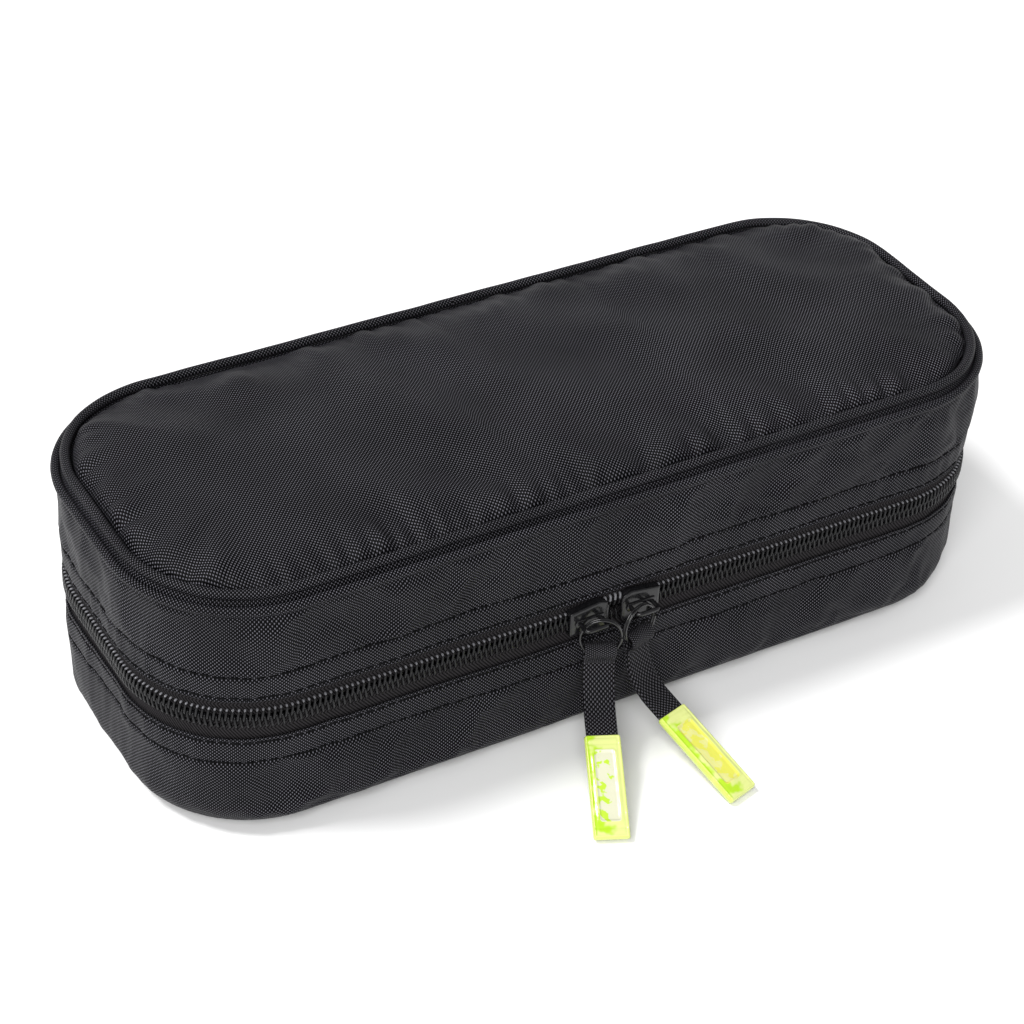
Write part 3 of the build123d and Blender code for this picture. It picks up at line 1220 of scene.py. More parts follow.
@dataclass
class Shell:
    """The lid and tray cloth, the padded top, the corded rim and the cloth hinge."""

    looks: Finishes
    lower_roll: float = 12.0
    cloth: float = 0.9
    rim_level: float = 88.4
    rim_radius: float = 1.5
    piping_inset: float = 4.6
    piping_level: float = 92.4
    piping_radius: float = 1.6
    pad_inset: float = 6.45
    pad_seam_level: float = 90.8
    pad_under: float = 87.3
    pad_top: float = 96.6
    pad_edge: float = 8.5
    pad_cells: tuple[int, int] = (168, 69)
    hem_turn: float = 0.5
    cells_round: int = 420

    def hem(self, edge: float, away: int) -> list:
        """The section of a folded hem, from its raw edge inside to the face of the cloth.

        Args:
            edge: The folded edge's height.
            away: 1 if the cloth goes up from its edge, and -1 if it goes down.

        Returns:
            Pairs of inset and height.
        """
        inset, turn = OUTLINE.band_inset, self.hem_turn
        points = [(inset + 1.3, edge + 6 * away), (inset + 1.1, edge + turn * away)]
        return points + arc((inset + turn, edge + turn * away), turn, 0, -180 * away, 6)

    def side_cloth(
        self, name: str, points: list, cells: int, body: Body, edge: float, away: int, *nodes: str
    ) -> None:
        """Makes the tray's or the lid's side cloth from its section.

        Args:
            name: The piece's name.
            points: The section.
            cells: Cells across the cloth.
            body: The body it rides on.
            edge: The folded edge's height.
            away: 1 if the cloth goes up from its edge, and -1 if it goes down.
            *nodes: The nodes that it replaces.
        """
        piece = round_wall(name, Profile(points), self.cells_round, cells, None, hem_pucker(edge, away))
        thicken(piece, self.cloth)
        smooth(piece)
        finish_piece(piece, body, self.looks.cloth, "shell_cloth", *nodes)

    def tray(self) -> None:
        """The tray's side cloth, which rolls under, and the panel that it is sewn to."""
        roll, inset = self.lower_roll, OUTLINE.band_inset
        points = self.hem(TRAY_EDGE, -1)
        points += [(inset, z) for z in np.linspace(TRAY_EDGE - 1.5, roll, 26)]
        points += arc((inset + roll, roll), roll, 180, 270, 12)[1:]
        self.side_cloth("tray_side_cloth", points, 64, Body.TRAY, TRAY_EDGE, -1, "base_side_band")
        panel = flat_cloth("tray_bottom_cloth", inset + roll + 0.15, self.cloth / 2, (150, 60), 0.0, 4)
        weld_seam(panel)
        thicken(panel, self.cloth, 0.0)
        smooth(panel)
        finish_piece(panel, Body.TRAY, self.looks.cloth, "shell_cloth", "base_bottom_panel")

    def lid(self) -> None:
        """The lid's side cloth with its folded lower edge and the ridge that it turns over at the top."""
        inset, rim = OUTLINE.band_inset, self.rim_level
        points = self.hem(LID_EDGE, 1)
        points += [(inset, z) for z in np.linspace(LID_EDGE + 1.5, rim - 4.5, 24)]
        points += [(inset + 0.35, rim - 2.4)]
        points += arc((self.rim_radius, rim), self.rim_radius, 220, 10, 12)
        points += [(self.rim_radius + 1.3, rim - 1.4)]
        nodes = ("lid_side_band", "lid_edge_roll")
        self.side_cloth("lid_side_cloth", points, 72, Body.LID, LID_EDGE, 1, *nodes)

    def rim(self) -> None:
        """The covered cord round the padded panel and the strip of cloth in the groove below it."""
        ring = Profile(arc((self.piping_inset, self.piping_level), self.piping_radius, 0, 360, 17))

        def uneven(s: Array, z: Array) -> Array:
            """The cord's slight unevenness along its way."""
            return 0.2 * swells(s, s * 0, 41, 8, 40)

        cord = round_wall("rim_piping", ring, 500, 16, None, uneven, 0.0)
        smooth(cord, 80)
        finish_piece(cord, Body.LID, self.looks.cord, "shell_cloth", "lid_piping")
        fold = Profile(((2.6, 87.2), (3.1, 89.0), (3.8, 90.5), (5.2, 90.7), (6.5, 90.2), (7.4, 89.0)))
        strip = round_wall("rim_groove_cloth", fold, 300, 10, None, None, 0.0)
        thicken(strip, 0.4)
        finish_piece(strip, Body.LID, self.looks.cloth, "shell_cloth")

    def pad(self) -> None:
        """The padded top: sewn down all round, pushed up by its foam and puckered along its seam."""
        panel = OUTLINE.panel(self.pad_inset)

        def upper(u: Array, v: Array) -> Array:
            """The padded face, which shows."""
            x, y = panel.spread(u, v)
            return np.column_stack((x, y, self.pad_height(panel, x, y)))

        def lower(u: Array, v: Array) -> Array:
            """The face below, which rises to the seam at its edge.

            Args:
                u: The share of the length.
                v: The share of the width.

            Returns:
                x, y and z.
            """
            x, y = panel.spread(u, v)
            rise = 1 - ease(panel.depth(x, y), 0, 3)
            return np.column_stack((x, y, self.pad_under + (self.pad_seam_level - self.pad_under) * rise))

        top = sheet_grid("top_pad", *self.pad_cells, upper)
        spots = coords(top) / MM
        at_seam = panel.depth(spots[:, 0], spots[:, 1]) < 0.05
        moved = ClothRig(steps=24).settle(top, at_seam, 0.03, 1.2, 0.5)
        up, most_up, most_down = moved[:, 2], 2.6, 1.4
        lift = np.where(up > 0, most_up * np.tanh(up / most_up), most_down * np.tanh(up / most_down))
        log.info("pad moved up %.2f and down %.2f mm", float(up.max()), float(up.min()))
        set_coords(top, (spots + np.column_stack((np.tanh(moved[:, :2]), lift))) * MM)
        piece = joined("top_pad", [top, sheet_grid("pad_under", *self.pad_cells, lower)])
        weld_seam(piece, 0.00005)
        subdivide(piece)
        smooth(piece, 80)
        finish_piece(piece, Body.LID, self.looks.top, "top_cloth", "lid_top_panel", "lid_top_foam")

    def pad_height(self, panel: Panel, x: Array, y: Array) -> Array:
        """The padded top's height before its cloth settles.

        Args:
            panel: The pad's outline.
            x: Places along the pad.
            y: Places across it.

        Returns:
            The height in millimetres.
        """
        depth, way = panel.depth(x, y), panel.way_round(x, y)
        flat = self.pad_top - 4.4 + 3.0 * (1 - (y / 56) ** 2) + 1.4 * (1 - (x / 150) ** 2)
        shoulder = np.clip(depth / self.pad_edge, 0, 1)
        rise = np.sqrt(1 - (1 - shoulder) ** 2.4)
        front = 0.5 + 0.5 * ease(-y - 0.12 * x, 0, 40)
        gather = np.abs(swells(way, depth * 0.25, 5, 9, 21)) ** 0.8 - 0.4
        pucker = gather * bell(depth, 4, 6) * front
        pleat = swells(way + 0.5 * depth, depth * 0.3, 15, 16, 38) * bell(depth, 9, 13) * front
        soft = swells(x * 0.8 + y * 0.35, y * 0.5, 8, 22, 60) * ease(depth, 4, 18)
        relief = (2.6 * pucker + 1.5 * pleat + 1.25 * soft) * ease(depth, 0, 1.5)
        return self.pad_seam_level + (flat - self.pad_seam_level) * rise + relief

    def hinge(self) -> None:
        """The strip of cloth behind the zip's ends, which the lid folds on."""
        half, low, high = OUTLINE.straight, 33.4, 61.6

        def place(u: Array, v: Array) -> Array:
            """The strip, which bulges a little at its fold.

            Args:
                u: The share of its length.
                v: The share of its height.

            Returns:
                x, y and z.
            """
            x, z = (2 * u - 1) * half, low + (high - low) * v
            groove = bell(np.minimum(z - low, high - z), STITCH_ROWS["edge"], 0.6)
            belly = 0.35 * bell(z, ZIP_HEIGHT, 5) * (1 + 0.5 * swells(x, z, 14, 18, 50))
            return np.column_stack((x, 61.25 + belly - 0.25 * groove, z))

        piece = sheet_grid("hinge_cloth", 160, 48, place, (2 * half, high - low))
        with edit_mode(piece):
            bpy.ops.mesh.flip_normals()
        thicken(piece, 0.7, 0.0)
        weld_seam(piece)
        smooth(piece)
        finish_piece(piece, None, self.looks.cloth, "shell_cloth", "hinge_strip_base", "hinge_strip_lid")
        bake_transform(piece)


@dataclass
class Inside:
    """The foam, linings and seam ribbons that show when the lid is open."""

    looks: Finishes
    floor: float = 6.9
    ceiling: float = 86.3
    wall_inset: float = 6.6
    lining: float = 0.25
    foam_inset: float = 14.2

    def foams(self) -> None:
        """Foam sheets in both walls and in the floor."""
        for name, body, low, high, node in (
            ("tray_wall_foam", Body.TRAY, 13.0, 31.0, "base_side_foam"),
            ("lid_wall_foam", Body.LID, 64.0, 86.0, "lid_side_foam"),
        ):
            wall = round_wall(name, slab_section(3.9, 5.6, low, high), 240, 26, None, None, 0.55)
            self.foam(wall, body, node)
        panel = OUTLINE.panel(self.foam_inset)
        middle, levels = 3.3, ((1.3, 0.0), (5.3, 0.5))
        sheets = [flat_cloth("tray_floor_foam", self.foam_inset, z, (100, 40), lift, 5) for z, lift in levels]
        for sheet in sheets:
            spots = coords(sheet) / MM
            depth = panel.depth(spots[:, 0], spots[:, 1])
            spots[:, 2] += (middle - spots[:, 2]) * (1 - ease(depth, 0, 1.6))
            set_coords(sheet, spots * MM)
        floor = joined("tray_floor_foam", sheets)
        weld_seam(floor, 0.00005)
        self.foam(floor, Body.TRAY, "base_bottom_foam")

    def foam(self, piece: Piece, body: Body, node: str) -> None:
        """Finishes one foam sheet.

        Args:
            piece: The sheet.
            body: The body it rides on.
            node: The node that it replaces.
        """
        smooth(piece)
        finish_piece(piece, body, self.looks.foam, "foam", node)

    def linings(self) -> None:
        """The thin linings, each with walls that end in the seam ribbon and a floor or a ceiling."""
        inset, bend, top_bend = self.wall_inset, 6.5, 3.0

        def top(edge: float, away: int) -> list:
            """The part of a lining's section next to its seam."""
            return [(4.7, edge + 1.6 * away), (5.0, edge + 5 * away), (inset - 0.3, edge + 9 * away)]

        tray = top(TRAY_EDGE, -1)
        tray += [(inset, z) for z in np.linspace(TRAY_EDGE - 12, self.floor + bend, 10)]
        tray += arc((inset + bend, self.floor + bend), bend, 180, 270, 9)[1:] + [(inset + 13, self.floor)]
        lid = top(LID_EDGE, 1)
        lid += [(inset, z) for z in np.linspace(LID_EDGE + 12, self.ceiling - top_bend, 10)]
        lid += arc((inset + top_bend, self.ceiling - top_bend), top_bend, 180, 90, 7)[1:]
        lid += [(inset + 13, self.ceiling)]

        def gather(s: Array, z: Array) -> Array:
            """The lining's soft gathers."""
            return -0.3 - 0.3 * swells(s, z * 0.4, 53, 8, 30)

        for name, body, points, level, lift, node in (
            ("tray_lining", Body.TRAY, tray, self.floor, 0.5, "base_lining"),
            ("lid_lining_cloth", Body.LID, lid, self.ceiling, -0.4, "lid_lining"),
        ):
            walls = round_wall(name, Profile(points), 320, 40, None, gather, 0.35)
            panel = flat_cloth(f"{name}_panel", inset + 12.6, level, (130, 46), lift, 21)
            for piece, nodes in ((walls, (node,)), (panel, ())):
                thicken(piece, self.lining, 0.0)
                weld_seam(piece, 0.000005)
                smooth(piece)
                finish_piece(piece, body, self.looks.lining, "lining_cloth", *nodes)

    def ribbons(self) -> None:
        """The ribbon folded over the raw edges of each zip seam."""
        span = (111.6, OUTLINE.length - 111.6)
        for name, body, low, high, node in (
            ("tray_seam_ribbon", Body.TRAY, 33.2, 39.4, "base_seam_binding"),
            ("lid_seam_ribbon", Body.LID, 54.1, 60.3, "lid_seam_binding"),
        ):
            section = slab_section(3.6, 5.2, low, high, 0.5)
            piece = round_wall(name, section, 300, 20, span, None, 0.9, capped=True)
            smooth(piece)
            finish_piece(piece, body, self.looks.ribbon, "lining_cloth", node)


@dataclass
class Zip:
    """The two tapes and the interlocked coils."""

    looks: Finishes
    tape_inset: float = 2.65
    tape_width: float = 15.0
    slit: float = 1.8
    pitch: float = 1.8
    filament: float = 0.42
    reach: float = 3.3
    mesh: float = 0.55
    rise: float = 1.25
    span_start: float = 111.4
    parted_reach: float = 12.0
    parted_by: float = 1.6

    @property
    def span(self) -> tuple[float, float]:
        """Where the zip starts and ends along the outline."""
        return self.span_start, OUTLINE.length - self.span_start

    def tapes(self) -> None:
        """The lid's and the tray's tape."""
        for name, body, side, node in (
            ("tray_zip_tape", Body.TRAY, -1, "base_zip_tape"),
            ("lid_zip_tape_cloth", Body.LID, 1, "lid_zip_tape"),
        ):
            edges = (self.slit / 2, self.slit / 2 + self.tape_width)
            section = Profile([(self.tape_inset, ZIP_HEIGHT + side * edge) for edge in edges])
            piece = round_wall(name, section, 300, 10, self.span)
            thicken(piece, 0.6)
            smooth(piece)
            finish_piece(piece, body, self.looks.tape, "zip_tape", node)

    def coil_turn(self, side: int) -> Piece:
        """One turn of the coil, as a bent filament. Local x is along the zip, y outwards and z up.

        Args:
            side: 1 for the lid's coil, and -1 for the tray's.

        Returns:
            The turn, in millimetres.
        """
        rise, reach, mesh = self.rise, self.reach, self.mesh
        steps = np.array([
            (0.0, 0.1, -mesh * 0.7), (0.02, rise * 0.55, -mesh - 0.25), (0.08, rise, -mesh * 0.2),
            (0.25, rise * 1.02, reach * 0.35), (0.5, rise * 0.96, reach * 0.8),
            (0.6, rise * 0.6, reach + 0.15), (0.66, 0.05, reach - 0.1),
        ])
        piece = wire_mesh("turn", "NURBS", (steps - (0.3, 0, 0)) * (1, 1, side), self.filament, 1)
        weld_seam(piece, 0.001)
        return piece

    def coils(self) -> None:
        """Both rows of coil, interlocked, and parted where the sliders hold them."""
        start, end = self.span
        count = int((end - start - 2 * self.pitch) / self.pitch)
        for name, body, side, phase, node in (
            ("lid_coil", Body.LID, 1, 0.25, "lid_zip_teeth"),
            ("tray_coil", Body.TRAY, -1, 0.75, "base_zip_teeth"),
        ):
            s = start + self.pitch + (np.arange(count) + phase) * self.pitch
            x, y, _, _ = OUTLINE.at(s)
            along = np.abs(x - SLIDERS_MEET)
            near = (y < 0) & (along < self.parted_reach)
            parted = np.where(near, (1 + np.cos(np.pi * along / self.parted_reach)) / 2, 0)
            out = OUTLINE.band_inset - self.tape_inset + FORM.outward(s, np.full_like(s, ZIP_HEIGHT))
            frames = standing_frames(s, out, ZIP_HEIGHT + side * parted * self.parted_by)
            coil = repeated(name, self.coil_turn(side), frames)
            finish_piece(coil, body, self.looks.coil, "zip_coil", node)


@dataclass
class Stitches:
    """Rows of lockstitch along the hems."""

    looks: Finishes
    length: float = 3.0
    gap: float = 0.9
    thread: float = 0.34
    sink: float = 0.12
    dip: float = 0.3

    def template(self) -> Piece:
        """One stitch: a short thread that dips at both ends.

        Returns:
            The stitch, in millimetres.
        """
        deselect()
        bpy.ops.mesh.primitive_cylinder_add(
            vertices=6, radius=self.thread, depth=self.length, end_fill_type="TRIFAN",
            rotation=(0, math.pi / 2, 0),
        )
        piece = bpy.context.object
        bpy.ops.object.transform_apply(location=False, rotation=True, scale=False)
        with edit_mode(piece):
            for cut in (0.3, -0.3):
                bpy.ops.mesh.select_all(action="SELECT")
                bpy.ops.mesh.bisect(plane_co=(cut * self.length, 0, 0), plane_no=(1, 0, 0))
        places = coords(piece)
        places[np.abs(places[:, 0]) > 0.45 * self.length, 1] -= self.dip
        set_coords(piece, places)
        return piece

    def lay(self, name: str, body: Body, s: Array, out: Array, height: float) -> None:
        """Makes one row on the side cloth.

        Args:
            name: The row's name.
            body: The body it rides on.
            s: The way along the outline to each stitch.
            out: How far the cloth stands out there.
            height: The row's height.
        """
        frames = standing_frames(s, out + self.thread - self.sink, np.full_like(s, height))
        finish_piece(repeated(name, self.template(), frames), body, self.looks.thread, "shell_cloth")

    def hem_rows(self) -> None:
        """The two rows along each hem, all the way round."""
        count = int(OUTLINE.length / (self.length + self.gap))
        s = np.arange(count) * OUTLINE.length / count
        for name, body, edge, away in (("tray", Body.TRAY, TRAY_EDGE, -1), ("lid", Body.LID, LID_EDGE, 1)):
            pucker = hem_pucker(edge, away)
            for row, from_edge in STITCH_ROWS.items():
                height = edge + away * from_edge
                z = np.full_like(s, height)
                self.lay(f"{name}_{row}_stitches", body, s, FORM.outward(s, z) + pucker(s, z), height)

    def hinge_rows(self) -> None:
        """One straight row along each edge of the hinge cloth."""
        half, out = OUTLINE.straight - 2, 0.85
        s = -np.arange(-half, half, self.length + self.gap)
        for name, body, height in (("low", Body.TRAY, 35.0), ("high", Body.LID, 60.0)):
            self.lay(f"hinge_{name}_stitches", body, s, np.full_like(s, out), height)


@dataclass
class Pull:
    """One slider with its ring, its folded webbing and its welded sleeve."""

    looks: Finishes
    name: str
    side: int
    degrees: float
    shift: float
    inward: float
    vinyl: Material
    slider_offset: float = 9.3
    plate_face: float = -62.35
    bar: float = -67.35
    ring_drop: float = 4.9
    ring_radius: float = 6.6
    ring_wire: float = 0.38
    ring_pitch: float = 0.84
    straight: float = 3.2
    bend: float = 16.0
    web_length: float = 28.5
    tail: float = 8.0
    width: float = 10.0
    sleeve_thickness: float = 3.2

    @property
    def center_x(self) -> float:
        """The middle of the slider."""
        return SLIDERS_MEET + self.side * self.slider_offset

    @property
    def across(self) -> Array:
        """The direction across the webbing."""
        return np.array([math.cos(math.radians(self.degrees)), math.sin(math.radians(self.degrees)), 0.0])

    @property
    def outward(self) -> Array:
        """The direction that the webbing's face looks in."""
        return np.array([self.across[1], -self.across[0], 0.0])

    @property
    def ring_center(self) -> Array:
        """The middle of the ring."""
        return np.array([self.center_x + self.shift, self.bar + self.inward, ZIP_HEIGHT - self.ring_drop])

    @property
    def bottom(self) -> Array:
        """The ring's lowest point, which the webbing hangs on."""
        return self.ring_center - np.array([0, 0, self.ring_radius])

    @property
    def lean(self) -> float:
        """How far the pull leans from upright so that its sleeve's end meets the ground.

        Returns:
            The angle in radians.
        """
        low, high = 0.0, math.pi / 2
        for _ in range(50):
            lean = (low + high) / 2
            run = self.web_length - self.straight - self.bend * lean + SLEEVE_LENGTH
            drop = self.straight + self.bend * math.sin(lean) + run * math.cos(lean)
            drop += self.sleeve_thickness / 2 * math.sin(lean)
            low, high = (lean, high) if drop > self.bottom[2] - 0.2 else (low, lean)
        return (low + high) / 2

    def world(self, u: Array, w: Array, a: Array) -> Array:
        """Turns the side view's lengths into places.

        Args:
            u: Lengths outwards.
            w: Lengths upwards.
            a: Lengths across the webbing.

        Returns:
            x, y and z.
        """
        u, w, a = np.broadcast_arrays(u, w, a)
        up = np.array([0.0, 0.0, 1.0])
        return self.bottom + u[:, None] * self.outward + w[:, None] * up + a[:, None] * self.across

    def slider(self) -> None:
        """The slider's two plates, its flanges, its post and its bail. Its wide end is at positive x."""
        face = self.plate_face
        plate = [
            (-7.0, 4.3), (3.5, 5.8), (6.3, 4.8), (7.0, 3.0),
            (7.0, -3.0), (6.3, -4.8), (3.5, -5.8), (-7.0, -4.3),
        ]
        flange = [(-7.0, 3.65), (3.5, 4.95), (6.3, 4.75), (6.3, 4.85), (3.5, 5.8), (-7.0, 4.3)]
        post = [(2.7, 0.0), (3.9, -0.6), (5.5, -0.6), (6.1, 0.0), (5.5, 0.6), (3.9, 0.6)]
        bridge = [(-4.9, 1.5), (4.9, 1.5), (5.6, 0.0), (4.9, -1.5), (-4.9, -1.5), (-5.6, 0.0)]
        parts = [
            prism("front_plate", plate, face + 1.2, face, 0.3, 0.22),
            prism("upper_flange", flange, -59.6, face + 1.0, 0.05),
            prism("lower_flange", [(x, -z) for x, z in flange], -59.6, face + 1.0, 0.05),
            prism("post", post, -58.0, face + 1.0, 0.1),
            prism("back_plate", plate, -57.2, -58.4, 0.3),
            prism("bridge", bridge, face + 0.3, face - 0.75, 0.3),
        ]
        leg, turn = 3.9, 1.3
        angles = np.linspace(0, math.pi / 2, 7)
        corner = [(-leg + turn * (1 - math.cos(t)), self.bar + turn * (1 - math.sin(t))) for t in angles]
        run = [(-leg, face + 0.6)] + corner + [(-x, y) for x, y in reversed(corner)] + [(leg, face + 0.6)]
        parts.append(tube("bail", np.array([(x, y, 0.0) for x, y in run]), 0.75, 3))
        piece = joined(f"slider_body_{self.name}", parts)
        spots = coords(piece) / MM
        spots[:, 0] = self.center_x - self.side * spots[:, 0]
        spots[:, 2] += ZIP_HEIGHT
        set_coords(piece, spots * MM)
        weld_seam(piece, 0.000001)
        smooth(piece, 40)
        body = Body(f"slider_{self.name}")
        finish_piece(piece, body, self.looks.lacquer, "slider_metal", f"slider_{self.name}")

    def ring(self) -> None:
        """The split ring: two turns of wire that climb along its axis."""
        turn = np.linspace(-math.pi / 2, 3.5 * math.pi, 130)
        climb = self.ring_pitch * ((turn + math.pi / 2) / (2 * math.pi) - 1)
        path = self.ring_center + np.outer(self.ring_radius * np.cos(turn), [0, 0, 1])
        path = path - np.outer(self.ring_radius * np.sin(turn), self.across) + np.outer(climb, self.outward)
        piece = tube(f"split_ring_{self.name}", path, self.ring_wire)
        finish_piece(piece, Body(f"ring_{self.name}"), self.looks.wire, "ring_metal", f"ring_{self.name}")

    def strap_line(self) -> Array:
        """The webbing's middle line in side view: up one ply, round the ring and down the other.

        Returns:
            Rows of outward and upward lengths from the ring's lowest point.
        """
        lean, half, loop_radius = self.lean, 0.52, 2.42
        free = self.web_length - self.straight - self.bend * lean + self.tail

        def down(offset: float) -> list:
            """One ply, from the ring down to its end.

            Args:
                offset: How far it lies from the middle of the two plies.

            Returns:
                Pairs of outward and upward lengths.
            """
            points = [(offset, w) for w in np.linspace(-2.4, -self.straight, 3)]
            reach = self.bend - offset
            for t in np.linspace(0, lean, 14)[1:]:
                points.append((self.bend - reach * math.cos(t), -self.straight - reach * math.sin(t)))
            u, w = points[-1]
            ends = np.linspace(0, free, 14)[1:]
            return points + [(u + math.sin(lean) * d, w - math.cos(lean) * d) for d in ends]

        angles = np.linspace(1.28 * math.pi, -0.28 * math.pi, 22)
        loop = [(loop_radius * math.cos(t), 1.3 + loop_radius * math.sin(t)) for t in angles]
        return np.array(list(reversed(down(-half))) + [(-0.62, -1.75)] + loop + [(0.62, -1.75)] + down(half))

    def webbing(self) -> None:
        """The flat webbing, with a thicker band along each edge."""
        line = self.strap_line()
        steps = np.concatenate(([0.0], np.cumsum(np.hypot(*np.diff(line, axis=0).T))))
        tangent = np.gradient(line, steps, axis=0)
        tangent /= np.linalg.norm(tangent, axis=1)[:, None]
        shares = np.linspace(-1, 1, 13)
        band, rounding = ease(abs(shares), 0.45, 0.6), ease(abs(shares), 0.9, 1.0)
        face = list(zip(shares * self.width / 2, 0.3 + 0.12 * band - 0.3 * rounding))
        loop = np.array(face + [(a, -n) for a, n in reversed(face)] + face[:1])
        cells = (len(loop) - 1, len(line) - 1)

        def place(u: Array, v: Array) -> Array:
            """Wraps the webbing's section round its middle line.

            Args:
                u: The share of the way round the section.
                v: The share of the way along the line.

            Returns:
                x, y and z.
            """
            index = np.rint(u * cells[0]).astype(int)
            row = np.rint(v * cells[1]).astype(int)
            shut = np.where((row == 0) | (row == cells[1]), 0.02, 1.0)
            normal = np.column_stack((-tangent[row, 1], tangent[row, 0]))
            spot = line[row] + normal * (loop[index, 1] * shut)[:, None]
            return self.world(spot[:, 0], spot[:, 1], loop[index, 0])

        piece = sheet_grid(f"pull_webbing_{self.name}", *cells, place, (2 * self.width, float(steps[-1])))
        weld_seam(piece, 0.00001)
        smooth(piece, 50)
        finish_piece(piece, Body(f"pull_{self.name}"), self.looks.webbing, "webbing", f"webbing_{self.name}")

    def sleeve_relief(self, outline: Panel, a: Array, b: Array) -> Array:
        """Half the sleeve's thickness: rounded edges, a raised frame, a sunk window and two weld lines.

        Args:
            outline: The sleeve's outline.
            a: Places along the sleeve from its middle.
            b: Places across it.

        Returns:
            The height of its face over its middle.
        """
        depth = outline.depth(a, b)
        height = 1.45 * np.sqrt(np.maximum(1 - (1 - np.clip(depth / 0.7, 0, 1)) ** 2, 0))
        height = height - 0.22 * bell(depth, 1.15, 0.28)
        outside = np.hypot(np.maximum(np.abs(a) - 11.0, 0), np.maximum(np.abs(b) - 2.4, 0))
        ridge = 0.2 * bell(outside, 1.0, 0.42)
        pane = 0.3 * ease(Panel(11.9, 3.3, 0.9).depth(a, b), 0, 0.5)
        weld = 0.18 * bell(np.abs(a), 14.2, 0.35) * ease(depth, 0.6, 1.4)
        sag = 0.08 * swells(a, b, 61 + self.side, 4, 12) * ease(depth, 0.5, 1.5)
        return height + ridge - pane - weld + sag

    def sleeve(self) -> None:
        """The vinyl sleeve, with both faces welded at its edge."""
        lean = self.lean
        free = self.web_length - self.straight - self.bend * lean
        heading = np.array([math.sin(lean), -math.cos(lean)])
        normal = np.array([math.cos(lean), math.sin(lean)])
        bend_end = np.array([self.bend * (1 - math.cos(lean)), -self.straight - self.bend * math.sin(lean)])
        middle = bend_end + heading * (free + SLEEVE_LENGTH / 2)
        outline = Panel(SLEEVE_LENGTH / 2, SLEEVE_WIDTH / 2, 0.8)

        def face(sign: int) -> Place:
            """One face of the sleeve.

            Args:
                sign: 1 for the outward face, and -1 for the inward one.

            Returns:
                A function for its places.
            """

            def place(u: Array, v: Array) -> Array:
                """Puts the face on the hanging pull.

                Args:
                    u: The share of the length.
                    v: The share of the width.

                Returns:
                    x, y and z.
                """
                a, b = outline.spread(u, v)
                height = sign * self.sleeve_relief(outline, a, b)
                spot = middle + np.outer(a, heading) + np.outer(height, normal)
                return self.world(spot[:, 0], spot[:, 1], b)

            return place

        size = (SLEEVE_LENGTH, SLEEVE_WIDTH)
        sheets = [sheet_grid("sleeve_face", 100, 36, face(sign), size) for sign in (1, -1)]
        piece = joined(f"vinyl_sleeve_{self.name}", sheets)
        uvs = np.empty(len(piece.data.loops) * 2)
        piece.data.uv_layers.active.data.foreach_get("uv", uvs)
        centered = uvs.reshape(-1, 2) - np.array([SLEEVE_LENGTH / 2, SLEEVE_WIDTH / 2])
        piece.data.uv_layers.active.data.foreach_set("uv", centered.ravel())
        weld_seam(piece, 0.00001)
        smooth(piece)
        body = Body(f"pull_{self.name}")
        finish_piece(piece, body, self.vinyl, "reflective_sleeve", f"sleeve_{self.name}")


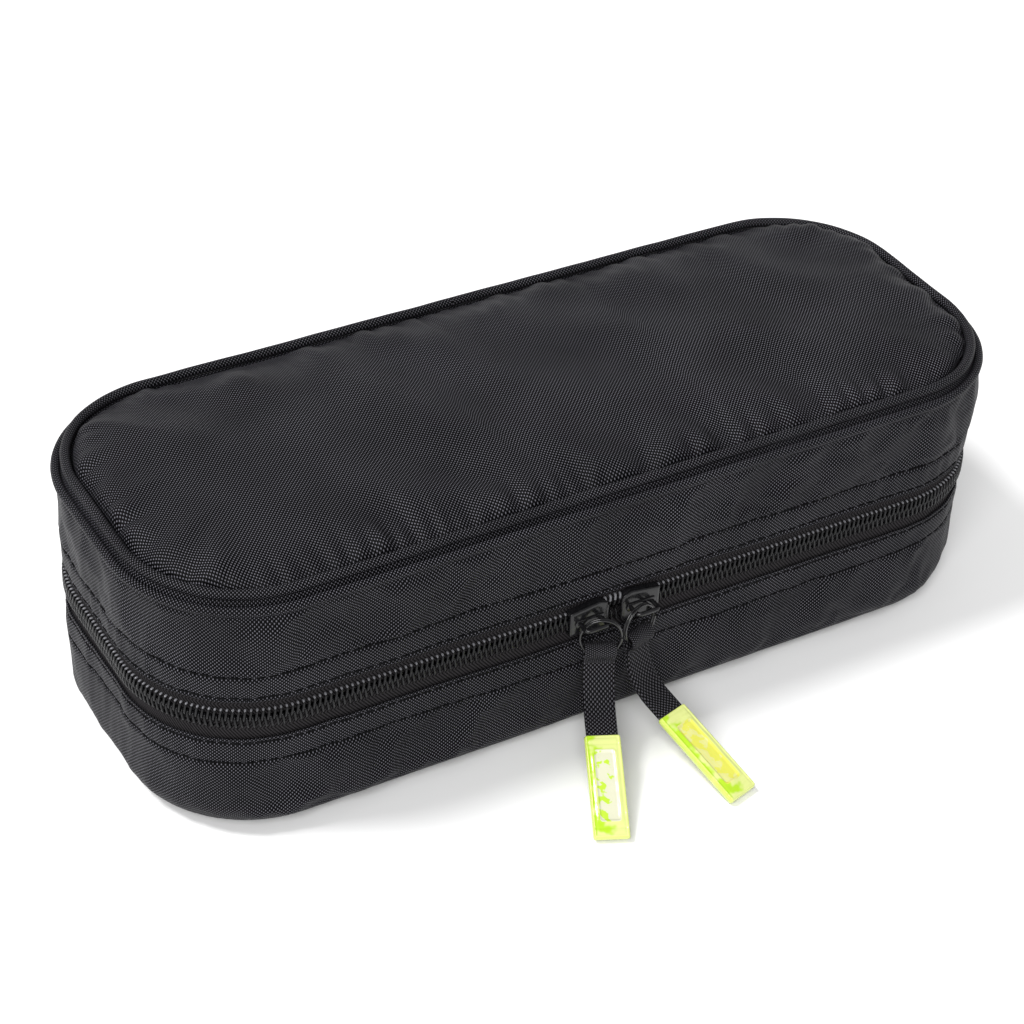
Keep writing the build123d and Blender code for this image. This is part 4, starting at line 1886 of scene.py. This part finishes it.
@dataclass(frozen=True)
class Studio:
    """A pale floor, soft light and the camera at the photograph's angle."""

    camera_at: tuple[float, float, float] = (-0.3664, -0.5969, 0.5654)
    azimuth: float = -31.064
    elevation: float = 36.737
    roll: float = 2.62
    lens: float = 92.69

    def camera(self) -> None:
        """Places the camera."""
        a, e, r = (math.radians(v) for v in (self.azimuth, self.elevation, self.roll))
        back = Vector((math.sin(a) * math.cos(e), -math.cos(a) * math.cos(e), math.sin(e)))
        right = Vector((math.cos(a), math.sin(a), 0.0))
        up = back.cross(right)
        across = right * math.cos(r) + up * math.sin(r)
        upward = up * math.cos(r) - right * math.sin(r)
        data = bpy.data.cameras.new("camera")
        data.lens = self.lens
        data.sensor_width = 36.0
        data.clip_start = 0.01
        camera = linked("camera", data)
        turn = Matrix((across, upward, back)).transposed()
        camera.matrix_world = Matrix.Translation(Vector(self.camera_at)) @ turn.to_4x4()
        bpy.context.scene.camera = camera

    def floor(self) -> None:
        """A wide pale floor, matt white paper that clips to white where both lights reach it."""
        deselect()
        bpy.ops.mesh.primitive_plane_add(size=8.0, location=(0, 0, -0.1 * MM))
        floor = named(bpy.context.object, "floor")
        material = bpy.data.materials.new("pale_floor")
        material.use_nodes = True
        tree = material.node_tree
        tree.nodes.clear()
        paint = {"Base_Color": linear("#f8f8f8"), "Roughness": 0.9, "Specular_IOR_Level": 0.1}
        add_node(tree, "OutputMaterial", None, Surface=add_node(tree, "BsdfPrincipled", None, **paint))
        floor.data.materials.append(material)

    def sun(self, name: str, place: tuple[float, float, float], spread: float, power: float) -> None:
        """One distant soft light, aimed at the pouch.

        Args:
            name: The light's name.
            place: Where it shines from.
            spread: How wide it is, in degrees.
            power: How strong it is.
        """
        data = bpy.data.lights.new(name, "SUN")
        data.angle = math.radians(spread)
        data.energy = power
        turn = (-Vector(place)).to_track_quat("-Z", "Y").to_matrix().to_4x4()
        linked(name, data).matrix_world = Matrix.Translation(Vector(place)) @ turn

    def build(self) -> None:
        """Sets everything up."""
        self.camera()
        self.floor()
        world = bpy.data.worlds.new("surround")
        world.use_nodes = True
        background = world.node_tree.nodes["Background"]
        background.inputs[0].default_value = (1, 1, 1, 1)
        background.inputs[1].default_value = 0.46
        bpy.context.scene.world = world
        self.sun("key", (-0.75, 0.3, 1.4), 14, 2.15)
        self.sun("front", (-0.9, -1.1, 1.2), 35, 2.3)
        bpy.context.scene.view_settings.view_transform = "Standard"


def main() -> None:
    """Builds the pouch piece by piece."""
    Studio().build()
    looks = Finishes()
    FORM.prepare()
    shell, inside, chain, stitches = Shell(looks), Inside(looks), Zip(looks), Stitches(looks)
    for make in (
        shell.tray, shell.lid, shell.rim, shell.pad, shell.hinge,
        inside.foams, inside.linings, inside.ribbons,
        chain.tapes, chain.coils, stitches.hem_rows, stitches.hinge_rows,
    ):
        make()
    for pull in (
        Pull(looks, "left", -1, -24.0, 2.0, 1.15, looks.vinyl_left),
        Pull(looks, "right", 1, 16.0, -2.2, 1.65, looks.vinyl_right),
    ):
        pull.slider()
        pull.ring()
        pull.webbing()
        pull.sleeve()


if __name__ == "__main__":
    main()
